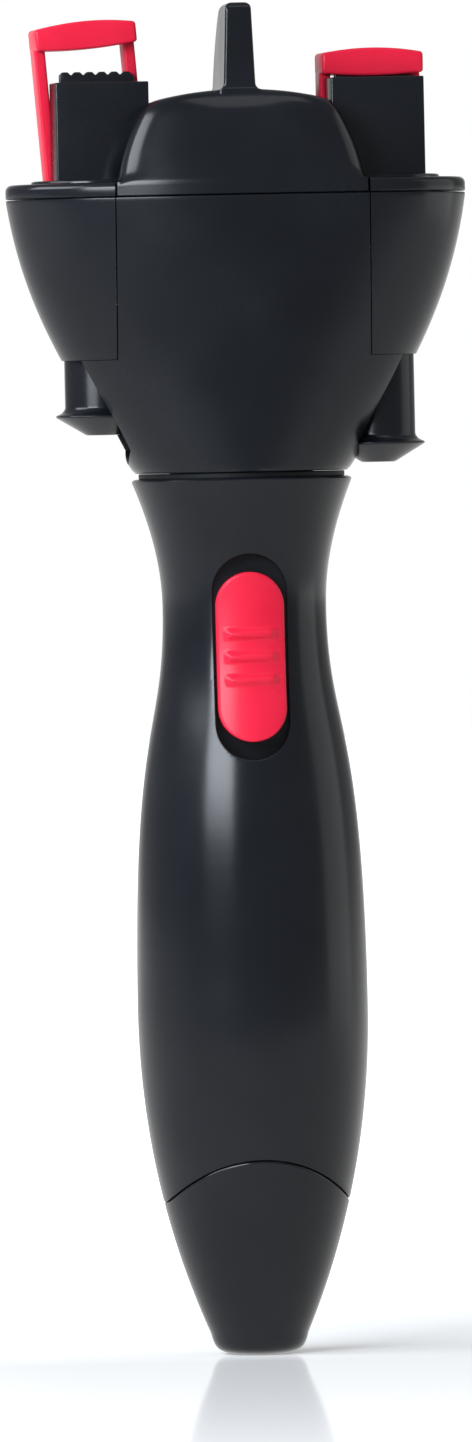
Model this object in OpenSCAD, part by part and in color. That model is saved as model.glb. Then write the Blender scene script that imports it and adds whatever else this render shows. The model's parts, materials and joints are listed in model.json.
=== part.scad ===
// Automatic hair braider: a battery handle with a thumb slider carries a turning
// funnel-shaped head. Two clips stand on turntables in the head and are opened by
// push buttons under its ears. Millimetres, Z up, the slider faces -Y, and the
// origin is the middle of the handle's end, on the axis that the head turns about.

/* [Handle] */
// Radius of the flat foot at the handle's end
foot_r = 4.5; // [4:0.1:5.5]
// Radius where the domed end meets the tapered grip
end_r = 8.9; // [8.5:0.1:9.4]
// Height of that edge
end_z = 3.9; // [3.5:0.1:4.5]
// Radius of the grip at its widest
belly_r = 20.9; // [20.6:0.1:22]
// Height of the widest place
belly_z = 63; // [58:1:68]
// Radius of the waist under the thumb slider
waist_r = 14.85; // [14.7:0.05:15.2]
// How far the waist lies under the turning joint
waist_drop = 23.2; // [22:0.2:25]
// Radius of the collar under the head
collar_r = 20; // [19.6:0.1:20.5]
// Height of the handle up to the turning joint
handle_h = 159.2; // [159:0.1:159.6]
// Wall of the handle shells
handle_wall = 2; // [1.8:0.1:2.2]

/* [Battery end] */
// Height of the arched seam over the slider side
arch_top = 35.7; // [34.5:0.1:36.5]
// Radius of the arched seam
arch_r = 21.6; // [21:0.2:24]
// Radius of the plug of the battery cap
plug_r = 14.4; // [13.8:0.1:14.5]
// Height of the top of that plug
plug_top = 40; // [39:0.25:42]
// Diameter of one cell
cell_d = 14.5; // [13.5:0.1:14.6]
// Length of one cell with its nub
cell_len = 50.5; // [49:0.1:50.8]
// Height that a contact spring fills
contact_spring_h = 4.2; // [3.6:0.1:4.8]
// Wall of the two cradle tubes
cradle_wall = 1.1; // [0.8:0.1:1.3]

/* [Thumb slider] */
// Width of the red slider
slider_w = 12.4; // [11.5:0.1:12.8]
// Length of the red slider
slider_len = 30.7; // [29:0.1:31.5]
// How far its middle lies under the turning joint
slider_drop = 32.4; // [31.8:0.1:33]
// Travel from the middle to either end
slider_travel = 3.1; // [2.5:0.1:3.3]
// How far the slider stands out of the grip
slider_proud = 1.1; // [0.6:0.1:1.6]
// Distance of the recess floor in front of the axis
recess_floor_y = 12.6; // [12.4:0.1:12.8]
// Thickness of the recess floor
recess_floor_t = 1; // [0.8:0.1:1.1]
// Distance between the ribs
rib_pitch = 4.15; // [3.8:0.05:4.4]

/* [Motor and gears] */
// Width of the motor can
motor_w = 20.4; // [19:0.1:20.6]
// Depth of the motor can across its flats
motor_d = 15.4; // [14.5:0.1:15.6]
// Share of the room over the cells that the motor can fills
motor_share = 0.59; // [0.55:0.01:0.62]
// Distance of the motor shaft behind the axis
motor_off = 2; // [1.8:0.05:2.1]
// How far the motor plate lies under the turning joint
motor_plate_drop = 21.2; // [21:0.1:21.6]
// Thickness of the gearbox plates
plate_t = 1.4; // [1.2:0.1:1.5]
// Width of one gear
gear_w = 1.7; // [1.5:0.1:1.8]
// Module of the reduction gears
small_module = 0.4; // [0.38:0.01:0.41]
// Module of the gears in the head
big_module = 1; // [0.96:0.01:1]
// Play between meshing teeth
backlash = 0.12; // [0.08:0.01:0.16]

/* [Neck] */
// Outer radius of the neck sleeve
sleeve_r = 13; // [12.6:0.1:13.2]
// Wall of the neck sleeve
sleeve_wall = 2; // [1.6:0.1:2.2]
// Outer radius of the neck bush
bush_r = 16.2; // [15.8:0.1:16.4]
// Height of the neck bush
bush_h = 4; // [3.6:0.1:4.2]
// Radius of the bush's flange, which the head turns on
bush_flange_r = 18.9; // [18.4:0.1:19]
// Open gap between handle and head
neck_gap = 1; // [0.8:0.1:1.2]
// Radius of the drive shaft
shaft_r = 2; // [1.8:0.05:2.2]
// Radius of the output shaft and of the idler axle
pin_r = 1; // [0.9:0.05:1.05]

/* [Head] */
// Radius of the head at the neck
head_base_r = 19.4; // [19:0.1:19.8]
// Half of the head's width at the rim
head_half_w = 41.8; // [41.6:0.1:43]
// Half of the head's depth at the rim
head_half_d = 23; // [22.8:0.1:24]
// Height of the head from its underside to the seam under the rim
rim_rise = 50; // [49.6:0.1:50.6]
// Height of the rim band
rim_h = 2.8; // [2.6:0.1:3]
// Wall of the head
head_wall = 1.8; // [1.6:0.1:1.9]
// Height of the ears' lower ends over the head's underside
ear_rise = 20.8; // [20:0.2:21.8]
// Distance of the ear seams from the middle
ear_seam_x = 23; // [22.6:0.1:23.6]
// Width of the open seams between covers
seam = 0.2; // [0.15:0.05:0.3]

/* [Dome] */
// Half of the dome's width at its base
dome_base_w = 22.4; // [22:0.1:22.6]
// Half of the dome's width at its top corners
dome_top_w = 16.9; // [16.5:0.1:17.6]
// Height of the top corners over the rim
dome_corner_h = 14.6; // [14:0.1:15.4]
// Height of the crown over the rim
dome_h = 16.4; // [16:0.1:17]
// Half of the dome's depth at its top
dome_top_d = 18.5; // [17.5:0.1:19.5]
// Height of the divider fin over the crown
fin_h = 15.6; // [13:0.2:16.4]
// Thickness of the fin at its root
fin_root_t = 5.8; // [5.4:0.1:6.2]
// Thickness of the fin at its top
fin_tip_t = 4.6; // [4.2:0.1:5]
// Distance of the fin's front edge from the axis
fin_front_y = 17; // [16.5:0.1:17.5]
// Depth of the fin at its root
fin_root_d = 30.5; // [28:0.5:32]

/* [Clips] */
// Distance of each clip's axis from the middle
clip_x = 25; // [24.8:0.1:25.2]
// Angle that the clips are turned to at rest
clip_turn = 5.5; // [4:0.5:8]
// Radius of a turntable
table_r = 12.1; // [12:0.05:12.2]
// Height of a turntable's face over the rim
table_proud = 0.6; // [0.4:0.1:0.8]
// Half of the red frame's width
clip_half_w = 9.3; // [9:0.1:9.4]
// Half of the black block's width
block_half_w = 8.5; // [8.3:0.1:8.8]
// Distance of the block's front from its axis
block_front = 7.5; // [7.2:0.1:7.7]
// Distance of the frame's back from the clip's axis
frame_back = 5.6; // [5.2:0.1:5.8]
// Height of a block over its turntable
block_h = 17.7; // [17:0.1:18.4]
// Height of the comb over the block
comb_h = 2; // [1.6:0.1:2.1]
// Height of the comb's teeth
comb_tooth_h = 0.55; // [0.4:0.05:0.7]
// Number of the comb's teeth
comb_teeth = 6; // [5:1:7]
// Height of the red bar
bar_h = 5.1; // [4.8:0.1:5.4]
// Width of a frame leg seen from the front
leg_w = 2.1; // [1.9:0.05:2.3]
// How far a clip opens
clip_open = 5.9; // [5.4:0.1:6]
// Lean of the bar that stands open
open_lean = 4.4; // [3:0.2:4.6]

/* [Clip drive] */
// Radius of a push button's stem
stem_r = 6.8; // [6.6:0.05:6.9]
// Radius of a push button's foot
foot_flange_r = 8.5; // [8.2:0.1:8.6]
// Rise of a push button's underside from its flat middle to its edge
flange_rise = 3.3; // [3:0.1:3.5]
// Height of a closed clip's button over the head's underside
button_rise = 1.3; // [1.1:0.1:1.8]
// Wall of the barrel's tube
tube_wall = 1.55; // [1.3:0.05:1.6]
// How far the gears in the head lie under the rim seam
head_gear_drop = 12.4; // [12.2:0.1:12.6]
// Width of the gears in the head
head_gear_w = 3; // [2.8:0.1:3.1]
// How far the gear deck lies under the rim seam
deck_drop = 18.2; // [17.8:0.1:18.4]
// Thickness of the gear deck
deck_t = 2; // [1.6:0.1:2.2]

/* [Clearances] */
// Radial play of a running fit
run_play = 0.05; // [0.03:0.01:0.08]
// Free space beside parts that move past each other
free_play = 0.3; // [0.25:0.05:0.35]
// Radial play of a part seated in its housing
seat_play = 0.15; // [0.1:0.01:0.2]

/* [Hidden] */
$fn = 64;
EPS = 0.01;
FAR = 300;

// Heights in the handle, down from the turning joint.
waist_z = handle_h - waist_drop;
slider_z = handle_h - slider_drop;
motor_plate_z = handle_h - motor_plate_drop;

// Teeth of the reduction: a 10 tooth pinion drives a 24 tooth wheel, then three
// 10 to 27 steps follow on two axles.
pinion_n = 10;
first_n = 24;
wheel_n = 27;
// Teeth in the head: both pairs fill the distance between shaft and clips.
clip_n = 22;
sun_n = 28;
// Stub teeth with a 25 degree pressure angle, as moulded gears have.
pressure_angle = 25;
addendum = 0.8;
dedendum = 1.05;

// Outer curves of the grip and the head, as four-point curves of [radius, height].
function bez(p, t) =
    pow(1 - t, 3) * p[0] + 3 * t * pow(1 - t, 2) * p[1]
    + 3 * t * t * (1 - t) * p[2] + pow(t, 3) * p[3];
function curve(p, n, first = 0) = [for (i = [first:n]) bez(p, i / n)];

end_dome = [[foot_r, 0], [foot_r + 2.6, 0.1], [end_r - 0.7, end_z - 1.9], [end_r, end_z]];
taper = [
    [end_r, end_z],
    [end_r + 0.67 * (belly_r - end_r), end_z + 18.6],
    [belly_r, belly_z - 20.8],
    [belly_r, belly_z]
];
belly_to_waist = waist_z - belly_z;
grip = [
    [belly_r, belly_z],
    [belly_r, belly_z + 0.745 * belly_to_waist],
    [waist_r, waist_z - 0.326 * belly_to_waist],
    [waist_r, waist_z]
];
collar_edge = 0.5;
flare_top = [collar_r, handle_h - collar_edge];
flare = [[waist_r, waist_z], [waist_r, waist_z + 8], flare_top - [2.9, 7], flare_top];
grip_curve = concat(
    curve(end_dome, 4),
    curve(taper, 10, 1),
    curve(grip, 12, 1),
    curve(flare, 8, 1)
);
handle_curve = concat(grip_curve, [[collar_r - collar_edge, handle_h]]);

// Radius of the grip at a height.
function grip_r(z) = lookup(z, [for (p = grip_curve) [p[1], p[0]]]);

arch_cz = arch_top - arch_r;
cap_floor = 2.2;
web_t = 1.6;
contact_t = 0.4;
contact_z = plug_top + contact_t;
nub_r = 2.75;
nub_h = 1;
cell_x = cell_d / 2 + 0.65;
cells_top = contact_z + contact_spring_h + cell_len;
bulkhead_z = cells_top + contact_t;
bulkhead_t = 2;
motor_len = motor_share * (motor_plate_z - bulkhead_z - bulkhead_t);
cap_bore_top = plug_top + 0.5;
cap_bore_r = plug_r + free_play;

recess_w = slider_w + 1;
recess_len = slider_len + 2 * slider_travel + free_play;
recess_wall = 1.2;
floor_back_y = recess_floor_y - recess_floor_t;
switch_h = 3.6;
board_y = floor_back_y - 0.6 - switch_h;
board_t = 1.2;
board_w = 15;
board_z = [slider_z - 17.3, slider_z + 12.7];
board_boss_z = [board_z[0] + 2.8, board_z[1] - 1.9];
board_head_t = 0.4;

// Levels of the gearbox, upwards from the motor plate.
motor_plate_top = motor_plate_z + plate_t;
level_1 = motor_plate_top + 0.7;
middle_z = level_1 + gear_w + 0.7;
middle_t = 1;
level_2 = middle_z + middle_t + 0.4;
level_3 = level_2 + gear_w + 0.6;
level_4 = level_3 + gear_w + 0.8;
top_plate_z = level_4 + gear_w + 0.7;
pitch_a = small_module * (pinion_n + first_n) / 2;
pitch_b = small_module * (pinion_n + wheel_n) / 2;
axle_y = (pitch_b * pitch_b - pitch_a * pitch_a + motor_off * motor_off) / (2 * motor_off);
axle_x = sqrt(pitch_b * pitch_b - axle_y * axle_y);
axle = [axle_x, axle_y];
motor_screw_at = [[-4.4, motor_off + 4.4], [4.4, motor_off - 4.4]];
posts = [[-3.5, 9.5], [9.8, -5.2], [-8.6, -4.6]];
post_r = 1.2;

// Levels of the neck.
head_z = handle_h + neck_gap;
rim_z = head_z + rim_rise;
ear_z = head_z + ear_rise;
button_z = head_z + button_rise;
head_gear_z = rim_z - head_gear_drop;
deck_z = rim_z - deck_drop;
bush_z = handle_h - 0.2 - bush_h;
ring_t = 0.9;
ring_groove = 0.6;
ring_z = bush_z - 0.2 - ring_t;
ring_r = sleeve_r + 1.4;
sleeve_z = ring_z - 0.4;
clutch_z = top_plate_z + plate_t + free_play;
clutch_t = 1.5;
clutch_r = 7.5;
pad_t = 0.7;
upper_clutch_z = clutch_z + clutch_t + pad_t + run_play;
head_floor_t = 1.3;
flange_z = head_z + head_floor_t;
flange_t = 1.5;
flange_r = sleeve_r + 2.4;
web_z = flange_z + flange_t + 0.6;

// The head: its half width follows one curve, its half depth a straight line.
head_curve = [
    [head_base_r, head_z],
    [head_base_r + 10, head_z + 15.1],
    [head_half_w - 2.9, rim_z - 21],
    [head_half_w, rim_z]
];
head_steps = 10;
sides = 56;
head_rings = [for (p = curve(head_curve, head_steps)) ring(p[0], p[1])];
function half_depth(z) =
    head_base_r + (head_half_d - head_base_r) * (z - head_z) / (rim_z - head_z);
function ring(w, z, inset = 0) = [w - inset, half_depth(min(z, rim_z)) - inset, z];

rim_top = rim_z + rim_h;
dome_corner_z = rim_top + dome_corner_h;
dome_top_z = rim_top + dome_h;
fin_top_z = dome_top_z + fin_h;
rim_edge = [[0, 0], [0.3, 0.8], [1.1, 1.2]];
rim_rings = concat(
    [[head_half_w, head_half_d, rim_z + seam]],
    [for (e = rim_edge) [head_half_w - e[0], head_half_d - e[0], rim_top - 1.2 + e[1]]]
);

// The alcove that each push button moves in, and its funnel-shaped floor.
alcove_r = foot_flange_r + 0.8;
button_flat_r = 3;
alcove_floor = button_z - free_play;
alcove_rise = flange_rise * (alcove_r - button_flat_r) / (foot_flange_r - button_flat_r);
ear_floor_t = 1.5;
ear_bore_h = 6;

// The clips.
table_top = rim_top + table_proud;
block_top_z = table_top + block_h;
table_z = rim_z;
table_t = table_top - table_z;
hole_r = table_r + free_play;
dome_bay_r = table_r + 0.5;
skirt_r = table_r + 0.55;
skirt_wall = 0.9;
skirt_floor_t = 1;
skirt_z = head_gear_z + head_gear_w;
cavity_z = skirt_z + skirt_floor_t;
bridge_t = 2;
bridge_z = cavity_z + free_play;
bore_r = stem_r + run_play;
tube_r = bore_r + tube_wall;
tube_z = deck_z - 1.2;
boss_wall = 0.95;
leg_front = 0.6;
leg_inset = 0.05;
lean_z = table_top - clip_open;
lean_play = clip_open * sin(open_lean);
core_w = clip_half_w - leg_w - (block_top_z - lean_z) * sin(open_lean) - free_play;
plate_front = 1.3;
plate_back = -0.2;
block_back = 0.2;
plate_w = 13.5;
comb_top = block_top_z + comb_h;
bar_z = block_top_z + free_play;
bar_crown = 0.9;
leg_top = bar_z + bar_crown + 1;
bar_lip_y = 3;
peg_r = 3;
clips = [-1, 1];

module stadium(w, len) {
    union() {
        square([w, len - w], center = true);
        for (s = [-1, 1]) translate([0, s * (len - w) / 2]) circle(d = w);
    }
}

// A closed skin over elliptical rings of [half width, half depth, height].
module loft(rings) {
    n = len(rings);
    points = [
        for (r = rings, i = [0:sides - 1])
        [r[0] * cos(360 * i / sides), r[1] * sin(360 * i / sides), r[2]]
    ];
    walls = [
        for (k = [0:n - 2], i = [0:sides - 1])
        let (a = k * sides + i, b = k * sides + (i + 1) % sides)
        each [[a, b + sides, b], [a, a + sides, b + sides]]
    ];
    bottom = [for (i = [0:sides - 1]) i];
    top = [for (i = [0:sides - 1]) n * sides - 1 - i];
    polyhedron(points, concat([bottom], walls, [top]));
}

// One flank of a tooth: points of an involute from the base circle to the tip.
function involute(base, r) =
    let (a = acos(base / r)) tan(a) * 180 / PI - a;
function tooth_side(n, m) =
    let (
        pitch = n * m / 2,
        base = pitch * cos(pressure_angle),
        tip = pitch + addendum * m,
        root = pitch - dedendum * m,
        half = 90 / n - backlash / 4 / pitch * 180 / PI + involute(base, pitch),
        start = max(base, root)
    )
    concat(
        [[root, half + 0.5]],
        [for (k = [0:4]) let (r = start + (tip - start) * k / 4) [r, half - involute(base, r)]]
    );
function gear_points(n, m) = [
    for (i = [0:n - 1])
    let (side = tooth_side(n, m), last = len(side) - 1)
    each concat(
        [for (k = [0:last]) side[k][0] * [cos(360 * i / n - side[k][1]), sin(360 * i / n - side[k][1])]],
        [for (k = [0:last])
            let (q = side[last - k])
            q[0] * [cos(360 * i / n + q[1]), sin(360 * i / n + q[1])]]
    )
];
module gear(n, m, w, bore) {
    difference() {
        linear_extrude(w) polygon(gear_points(n, m));
        translate([0, 0, -1]) cylinder(r = bore, h = w + 2);
    }
}
// The turn that makes a wheel of n2 teeth mesh with one of n1 teeth turned by turn1,
// seen in the direction dir from the first to the second.
function mesh_turn(turn1, n1, n2, dir) =
    dir + 180 - (0.5 - (dir - turn1) * n1 / 360) * 360 / n2;

dir_motor_axle = atan2(axle_y - motor_off, axle_x);
dir_centre_axle = atan2(axle_y, axle_x);
first_turn = mesh_turn(0, pinion_n, first_n, dir_motor_axle);
second_turn = mesh_turn(first_turn, pinion_n, wheel_n, dir_centre_axle + 180);
third_turn = mesh_turn(second_turn, pinion_n, wheel_n, dir_centre_axle);
output_turn = mesh_turn(third_turn, pinion_n, wheel_n, dir_centre_axle + 180);

// ---------------------------------------------------------------- handle

module grip_solid() {
    rotate_extrude() polygon(concat([[0, 0]], handle_curve, [[0, handle_h]]));
}

module arch_cut(extra) {
    rotate([90, 0, 0]) translate([0, arch_cz, -FAR / 2]) cylinder(r = arch_r + extra, h = FAR, $fn = 128);
    translate([-FAR / 2, -FAR / 2, -FAR]) cube([FAR, FAR, FAR + arch_cz]);
}

// Inside of the shells: the grip curve moved in by the wall, with the seats of the
// cap plug, the neck bush and the sleeve ring turned into it.
module shell_inside() {
    inner = [for (p = grip_curve) if (p[1] > cap_bore_top && p[1] < ring_z - 1) [p[0] - handle_wall, p[1]]];
    r0 = grip_r(cap_bore_top) - handle_wall;
    r1 = grip_r(ring_z - 1) - handle_wall;
    rotate_extrude() polygon(concat(
        [[0, 0], [cap_bore_r, 0], [cap_bore_r, cap_bore_top], [r0, cap_bore_top]],
        inner,
        [
            [r1, ring_z - 1],
            [ring_r + 0.6, ring_z - 1],
            [ring_r + 0.6, bush_z],
            [bush_r + seat_play, bush_z],
            [bush_r + seat_play, handle_h + 1],
            [0, handle_h + 1]
        ]
    ));
}

screw_at = [13.3, bulkhead_z + bulkhead_t + 4.3];
screw_r = 1.15;
boss_r = 3;
module across(x, z, r, y0, y1) {
    translate([x, y1, z]) rotate([90, 0, 0]) cylinder(r = r, h = y1 - y0, $fn = 32);
}

module recess_prism(w, l, y_from) {
    translate([0, -y_from, slider_z]) rotate([90, 0, 0]) linear_extrude(FAR) stadium(w, l);
}

module handle_shell_solid() {
    difference() {
        union() {
            difference() {
                grip_solid();
                shell_inside();
            }
            intersection() {
                grip_solid();
                union() {
                    recess_prism(recess_w + 2 * recess_wall, recess_len + 2 * recess_wall, floor_back_y);
                    for (s = clips) across(s * screw_at[0], screw_at[1], boss_r, -FAR, FAR);
                    for (z = board_boss_z) across(0, z, 1.9, -FAR, -board_y);
                }
            }
        }
        arch_cut(0.25);
        recess_prism(recess_w, recess_len, recess_floor_y);
        for (s = clips) {
            across(s * screw_at[0], screw_at[1], screw_r, -9.5, FAR);
            across(s * screw_at[0], screw_at[1], 2.3, 6, FAR);
        }
    }
}

module front_handle_shell() {
    color("#26292e") difference() {
        intersection() {
            handle_shell_solid();
            translate([-FAR / 2, -FAR, 0]) cube([FAR, FAR - seam / 4, FAR]);
        }
        for (z = board_boss_z) across(0, z, 0.75, -recess_floor_y + 0.4, 0);
        translate([0, -recess_floor_y - 1, slider_z]) rotate([-90, 0, 0]) linear_extrude(3) {
            square([2.8, 2.4 + 2 * slider_travel + 2 * free_play], center = true);
            for (s = clips) translate([s * 4.6, 0])
                square([1.2 + 2 * free_play, 7 + 2 * slider_travel + 2 * free_play], center = true);
        }
    }
}

module rear_handle_shell() {
    color("#26292e") intersection() {
        handle_shell_solid();
        translate([-FAR / 2, seam / 4, 0]) cube([FAR, FAR, FAR]);
    }
}

module handle_screws() {
    color("silver") for (s = clips) {
        across(s * screw_at[0], screw_at[1], screw_r - 0.02, -9, 6);
        across(s * screw_at[0], screw_at[1], 2.1, 6, 7.6);
    }
}

module battery_cradle() {
    tube = cell_d / 2 + 0.15;
    z0 = cap_bore_top;
    color("#303338") difference() {
        intersection() {
            union() {
                for (s = clips) translate([s * cell_x, 0, z0])
                    cylinder(r = tube + cradle_wall, h = bulkhead_z - z0 + EPS);
                translate([0, 0, bulkhead_z])
                    cylinder(r = grip_r(bulkhead_z + bulkhead_t) - handle_wall - seat_play, h = bulkhead_t);
            }
            translate([0, 0, z0]) cylinder(r = grip_r(z0) - handle_wall - seat_play, h = FAR);
        }
        for (s = clips) {
            translate([s * cell_x, 0, z0 - 1]) cylinder(r = tube, h = bulkhead_z - z0 + 1);
            translate([s * cell_x, -FAR / 2, (z0 + bulkhead_z) / 2])
                cube([cell_d * 0.62, FAR, (bulkhead_z - z0) * 0.72], center = true);
        }
    }
}

module cell(s) {
    z0 = contact_z + (s < 0 ? contact_spring_h : 0);
    color("#c9a24a") translate([s * cell_x, 0, z0 + (s < 0 ? 0 : nub_h)]) {
        cylinder(d = cell_d, h = cell_len - nub_h);
        translate([0, 0, s < 0 ? cell_len - nub_h - EPS : -nub_h]) cylinder(r = nub_r, h = nub_h + EPS);
    }
}
module cell_left() { cell(-1); }
module cell_right() { cell(1); }

module contact_plate(z) {
    translate([0, 0, z]) linear_extrude(contact_t) square([9, 9], center = true);
}
module cradle_contacts() {
    color("silver") for (s = clips) translate([s * cell_x, 0, 0]) contact_plate(cells_top);
}

// A coil of round wire, drawn as rings joined along a helix.
module coil(r, wire, h, turns) {
    steps = 14 * turns;
    edges = 6;
    points = [
        for (i = [0:steps], k = [0:edges - 1])
        let (
            a = 360 * turns * i / steps,
            z = wire + (h - 2 * wire) * i / steps,
            q = r + wire * cos(360 * k / edges)
        )
        [q * cos(a), q * sin(a), z + wire * sin(360 * k / edges)]
    ];
    faces = concat(
        [[for (k = [0:edges - 1]) k]],
        [for (i = [0:steps - 1], k = [0:edges - 1])
            let (a = i * edges + k, b = i * edges + (k + 1) % edges)
            each [[a, b + edges, b], [a, a + edges, b + edges]]],
        [[for (k = [0:edges - 1]) steps * edges + edges - 1 - k]]
    );
    polyhedron(points, faces);
}
module cradle_spring() {
    color("silver") translate([cell_x, 0, cells_top - contact_spring_h]) coil(3, 0.35, contact_spring_h, 3);
}

// ---------------------------------------------------------------- battery cap

module battery_cap() {
    bore = plug_r - 1.6;
    color("#26292e") difference() {
        intersection() {
            grip_solid();
            union() {
                arch_cut(0);
                cylinder(r = plug_r, h = plug_top);
            }
        }
        rotate_extrude() polygon(concat(
            [[0, cap_floor], [grip_r(cap_floor + 1) - handle_wall, cap_floor]],
            [for (p = grip_curve) if (p[1] > cap_floor + 1 && p[0] - handle_wall < bore)
                [p[0] - handle_wall, p[1]]],
            [[bore, arch_cz + 6], [bore, plug_top - web_t], [0, plug_top - web_t]]
        ));
        translate([0, 0, plug_top - web_t - 1]) cylinder(r = 1.6, h = web_t + 2);
    }
}

module cap_contact() {
    color("silver") translate([0, 0, plug_top]) linear_extrude(contact_t) difference() {
        square([2 * cell_x + 7, 8], center = true);
        circle(r = 1.8);
    }
}

module cap_spring() {
    color("silver") translate([-cell_x, 0, contact_z]) coil(3, 0.35, contact_spring_h, 3);
}

// ---------------------------------------------------------------- thumb slider

module slider_button() {
    under_y = recess_floor_y + 0.2;
    low_z = belly_z - 3;
    proud_curve = [for (p = grip_curve) if (p[1] > low_z) [p[0] + slider_proud, p[1]]];
    color("#ec2d48") difference() {
        union() {
            intersection() {
                recess_prism(slider_w, slider_len, under_y);
                rotate_extrude($fn = 128) polygon(concat([[0, low_z]], proud_curve, [[0, handle_h - collar_edge]]));
            }
            for (k = [-1:1]) translate([0, 0, slider_z + k * rib_pitch]) slider_rib();
            translate([0, -under_y - 0.5, slider_z]) rotate([-90, 0, 0]) linear_extrude(2.2 + 0.5) {
                for (s = clips) translate([s * 4.6, 0]) square([1.2, 7], center = true);
            }
            for (s = clips) translate([s * 5, -floor_back_y + 0.6, slider_z]) cube([2, 0.8, 7], center = true);
        }
        translate([0, -under_y - 0.9, slider_z]) cube([2.2, 2, 2.6], center = true);
    }
}

// One grip rib: a short round bar laid across the slider's face.
module slider_rib() {
    y = grip_r(slider_z) + slider_proud - 0.35;
    rotate_extrude(angle = 32, start = 254, $fn = 128) translate([y, 0]) circle(r = 0.75, $fn = 24);
}

module switch_lever() {
    color("#e8e8e2") translate([0, 0, slider_z])
        translate([-1, -recess_floor_y - 0.8, -1.2]) cube([2, recess_floor_y + 0.8 - board_y - switch_h - 0.1, 2.4]);
}

module switch_body() {
    z = 12;
    color("silver") difference() {
        translate([-3.2, -board_y - switch_h, slider_z - z / 2]) cube([6.4, switch_h, z]);
        translate([-1.4, -board_y - switch_h - 1, slider_z - 5]) cube([2.8, 3, 10]);
    }
}

module circuit_board() {
    color("#2f6b3c") difference() {
        translate([-board_w / 2, -board_y, board_z[0]]) cube([board_w, board_t, board_z[1] - board_z[0]]);
        for (z = board_boss_z) across(0, z, 0.8, -board_y - 1, 0);
    }
}

module small_screws() {
    color("silver") {
        for (z = board_boss_z) {
            across(0, z, 0.7, -recess_floor_y + 0.8, -board_y + board_t);
            across(0, z, 1.4, -board_y + board_t, -board_y + board_t + board_head_t);
        }
        for (p = motor_screw_at) translate(p) {
            translate([0, 0, motor_plate_z - 2]) cylinder(r = 0.8, h = plate_t + 1.4, $fn = 32);
            translate([0, 0, motor_plate_top - 0.7]) cylinder(r = 1.5, h = 0.7, $fn = 32);
        }
    }
}

// ---------------------------------------------------------------- motor and gearbox

module motor_outline(w, d) {
    intersection() {
        circle(d = w);
        square([w + 1, d], center = true);
    }
}

module motor_can() {
    color("silver") translate([0, motor_off, motor_plate_z - motor_len]) difference() {
        union() {
            linear_extrude(motor_len) motor_outline(motor_w, motor_d);
            translate([0, 0, motor_len]) cylinder(r = 3, h = plate_t);
        }
        translate([0, 0, -1]) linear_extrude(motor_len) motor_outline(motor_w - 1.2, motor_d - 1.2);
        cylinder(r = pin_r + run_play, h = FAR);
        for (p = motor_screw_at) translate([p[0], p[1] - motor_off, motor_len - 2.2]) cylinder(r = 0.82, h = 3, $fn = 32);
    }
}

module motor_end_bell() {
    z = motor_plate_z - motor_len;
    color("#e6e4da") translate([0, motor_off, z - 1.6]) difference() {
        union() {
            linear_extrude(1.6) motor_outline(motor_w, motor_d);
            linear_extrude(4) motor_outline(motor_w - 1.4, motor_d - 1.4);
            translate([0, 0, -1.6]) cylinder(r = 3.2, h = 2);
        }
        translate([0, 0, -1]) cylinder(r = pin_r + run_play, h = FAR);
    }
    color("silver") for (s = clips) translate([s * 6, motor_off, z - 2.6]) cube([1.8, 0.5, 2.4], center = true);
}

module motor_shaft() {
    z = motor_plate_z - motor_len - 0.4;
    color("silver") translate([0, motor_off, 0]) {
        translate([0, 0, z]) cylinder(r = pin_r, h = level_1 + gear_w + 0.3 - z);
        translate([0, 0, z + 6]) cylinder(r = motor_d / 2 - 2.4, h = motor_len - 10);
    }
}

module motor_pinion() {
    color("#d9b25a") translate([0, motor_off, level_1 - 0.2]) gear(pinion_n, small_module, gear_w + 0.4, pin_r);
}

module plate_round(z, t, r) {
    translate([0, 0, z]) cylinder(r = r, h = t);
}
module motor_plate() {
    r = grip_r(motor_plate_z) - handle_wall - seat_play;
    color("#e6e4da") difference() {
        union() {
            intersection() {
                plate_round(motor_plate_z, plate_t, r);
                translate([-FAR / 2, -board_y + board_t + 2 * free_play, 0]) cube([FAR, FAR, FAR]);
            }
            for (p = posts) translate([p[0], p[1], motor_plate_z])
                cylinder(r = post_r, h = top_plate_z - motor_plate_z, $fn = 32);
        }
        translate([0, motor_off, motor_plate_z - 1]) cylinder(r = 3.02, h = plate_t + 2);
        for (p = motor_screw_at) translate(p) {
            translate([0, 0, motor_plate_z - 1]) cylinder(r = 0.82, h = plate_t + 2, $fn = 32);
            translate([0, 0, motor_plate_top - 0.7]) cylinder(r = 1.55, h = 2, $fn = 32);
        }
        translate([axle_x, axle_y, motor_plate_z + 0.4]) cylinder(r = pin_r, h = plate_t);
    }
}

module middle_plate() {
    r = grip_r(middle_z) - handle_wall - seat_play;
    color("#e6e4da") difference() {
        intersection() {
            plate_round(middle_z, middle_t, r);
            translate([-FAR / 2, -floor_back_y + free_play, 0]) cube([FAR, FAR, FAR]);
        }
        translate([axle_x, axle_y, middle_z - 1]) cylinder(r = 3, h = middle_t + 2);
        translate([0, 0, middle_z - 1]) cylinder(r = pin_r + run_play, h = middle_t + 2, $fn = 32);
        for (p = posts) translate([p[0], p[1], middle_z - 1]) cylinder(r = post_r + 0.02, h = middle_t + 2, $fn = 32);
    }
}

module top_plate() {
    r = grip_r(top_plate_z) - handle_wall - seat_play;
    color("#e6e4da") difference() {
        plate_round(top_plate_z, plate_t, r);
        translate([axle_x, axle_y, top_plate_z - 1]) cylinder(r = pin_r, h = plate_t + 0.4, $fn = 32);
        translate([0, 0, top_plate_z - 1]) cylinder(r = pin_r + run_play, h = plate_t + 2, $fn = 32);
    }
}

module idler_axle() {
    z0 = motor_plate_z + 0.4;
    color("silver") translate([axle_x, axle_y, z0])
        cylinder(r = pin_r, h = top_plate_z + plate_t - 0.6 - z0, $fn = 32);
}

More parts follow.
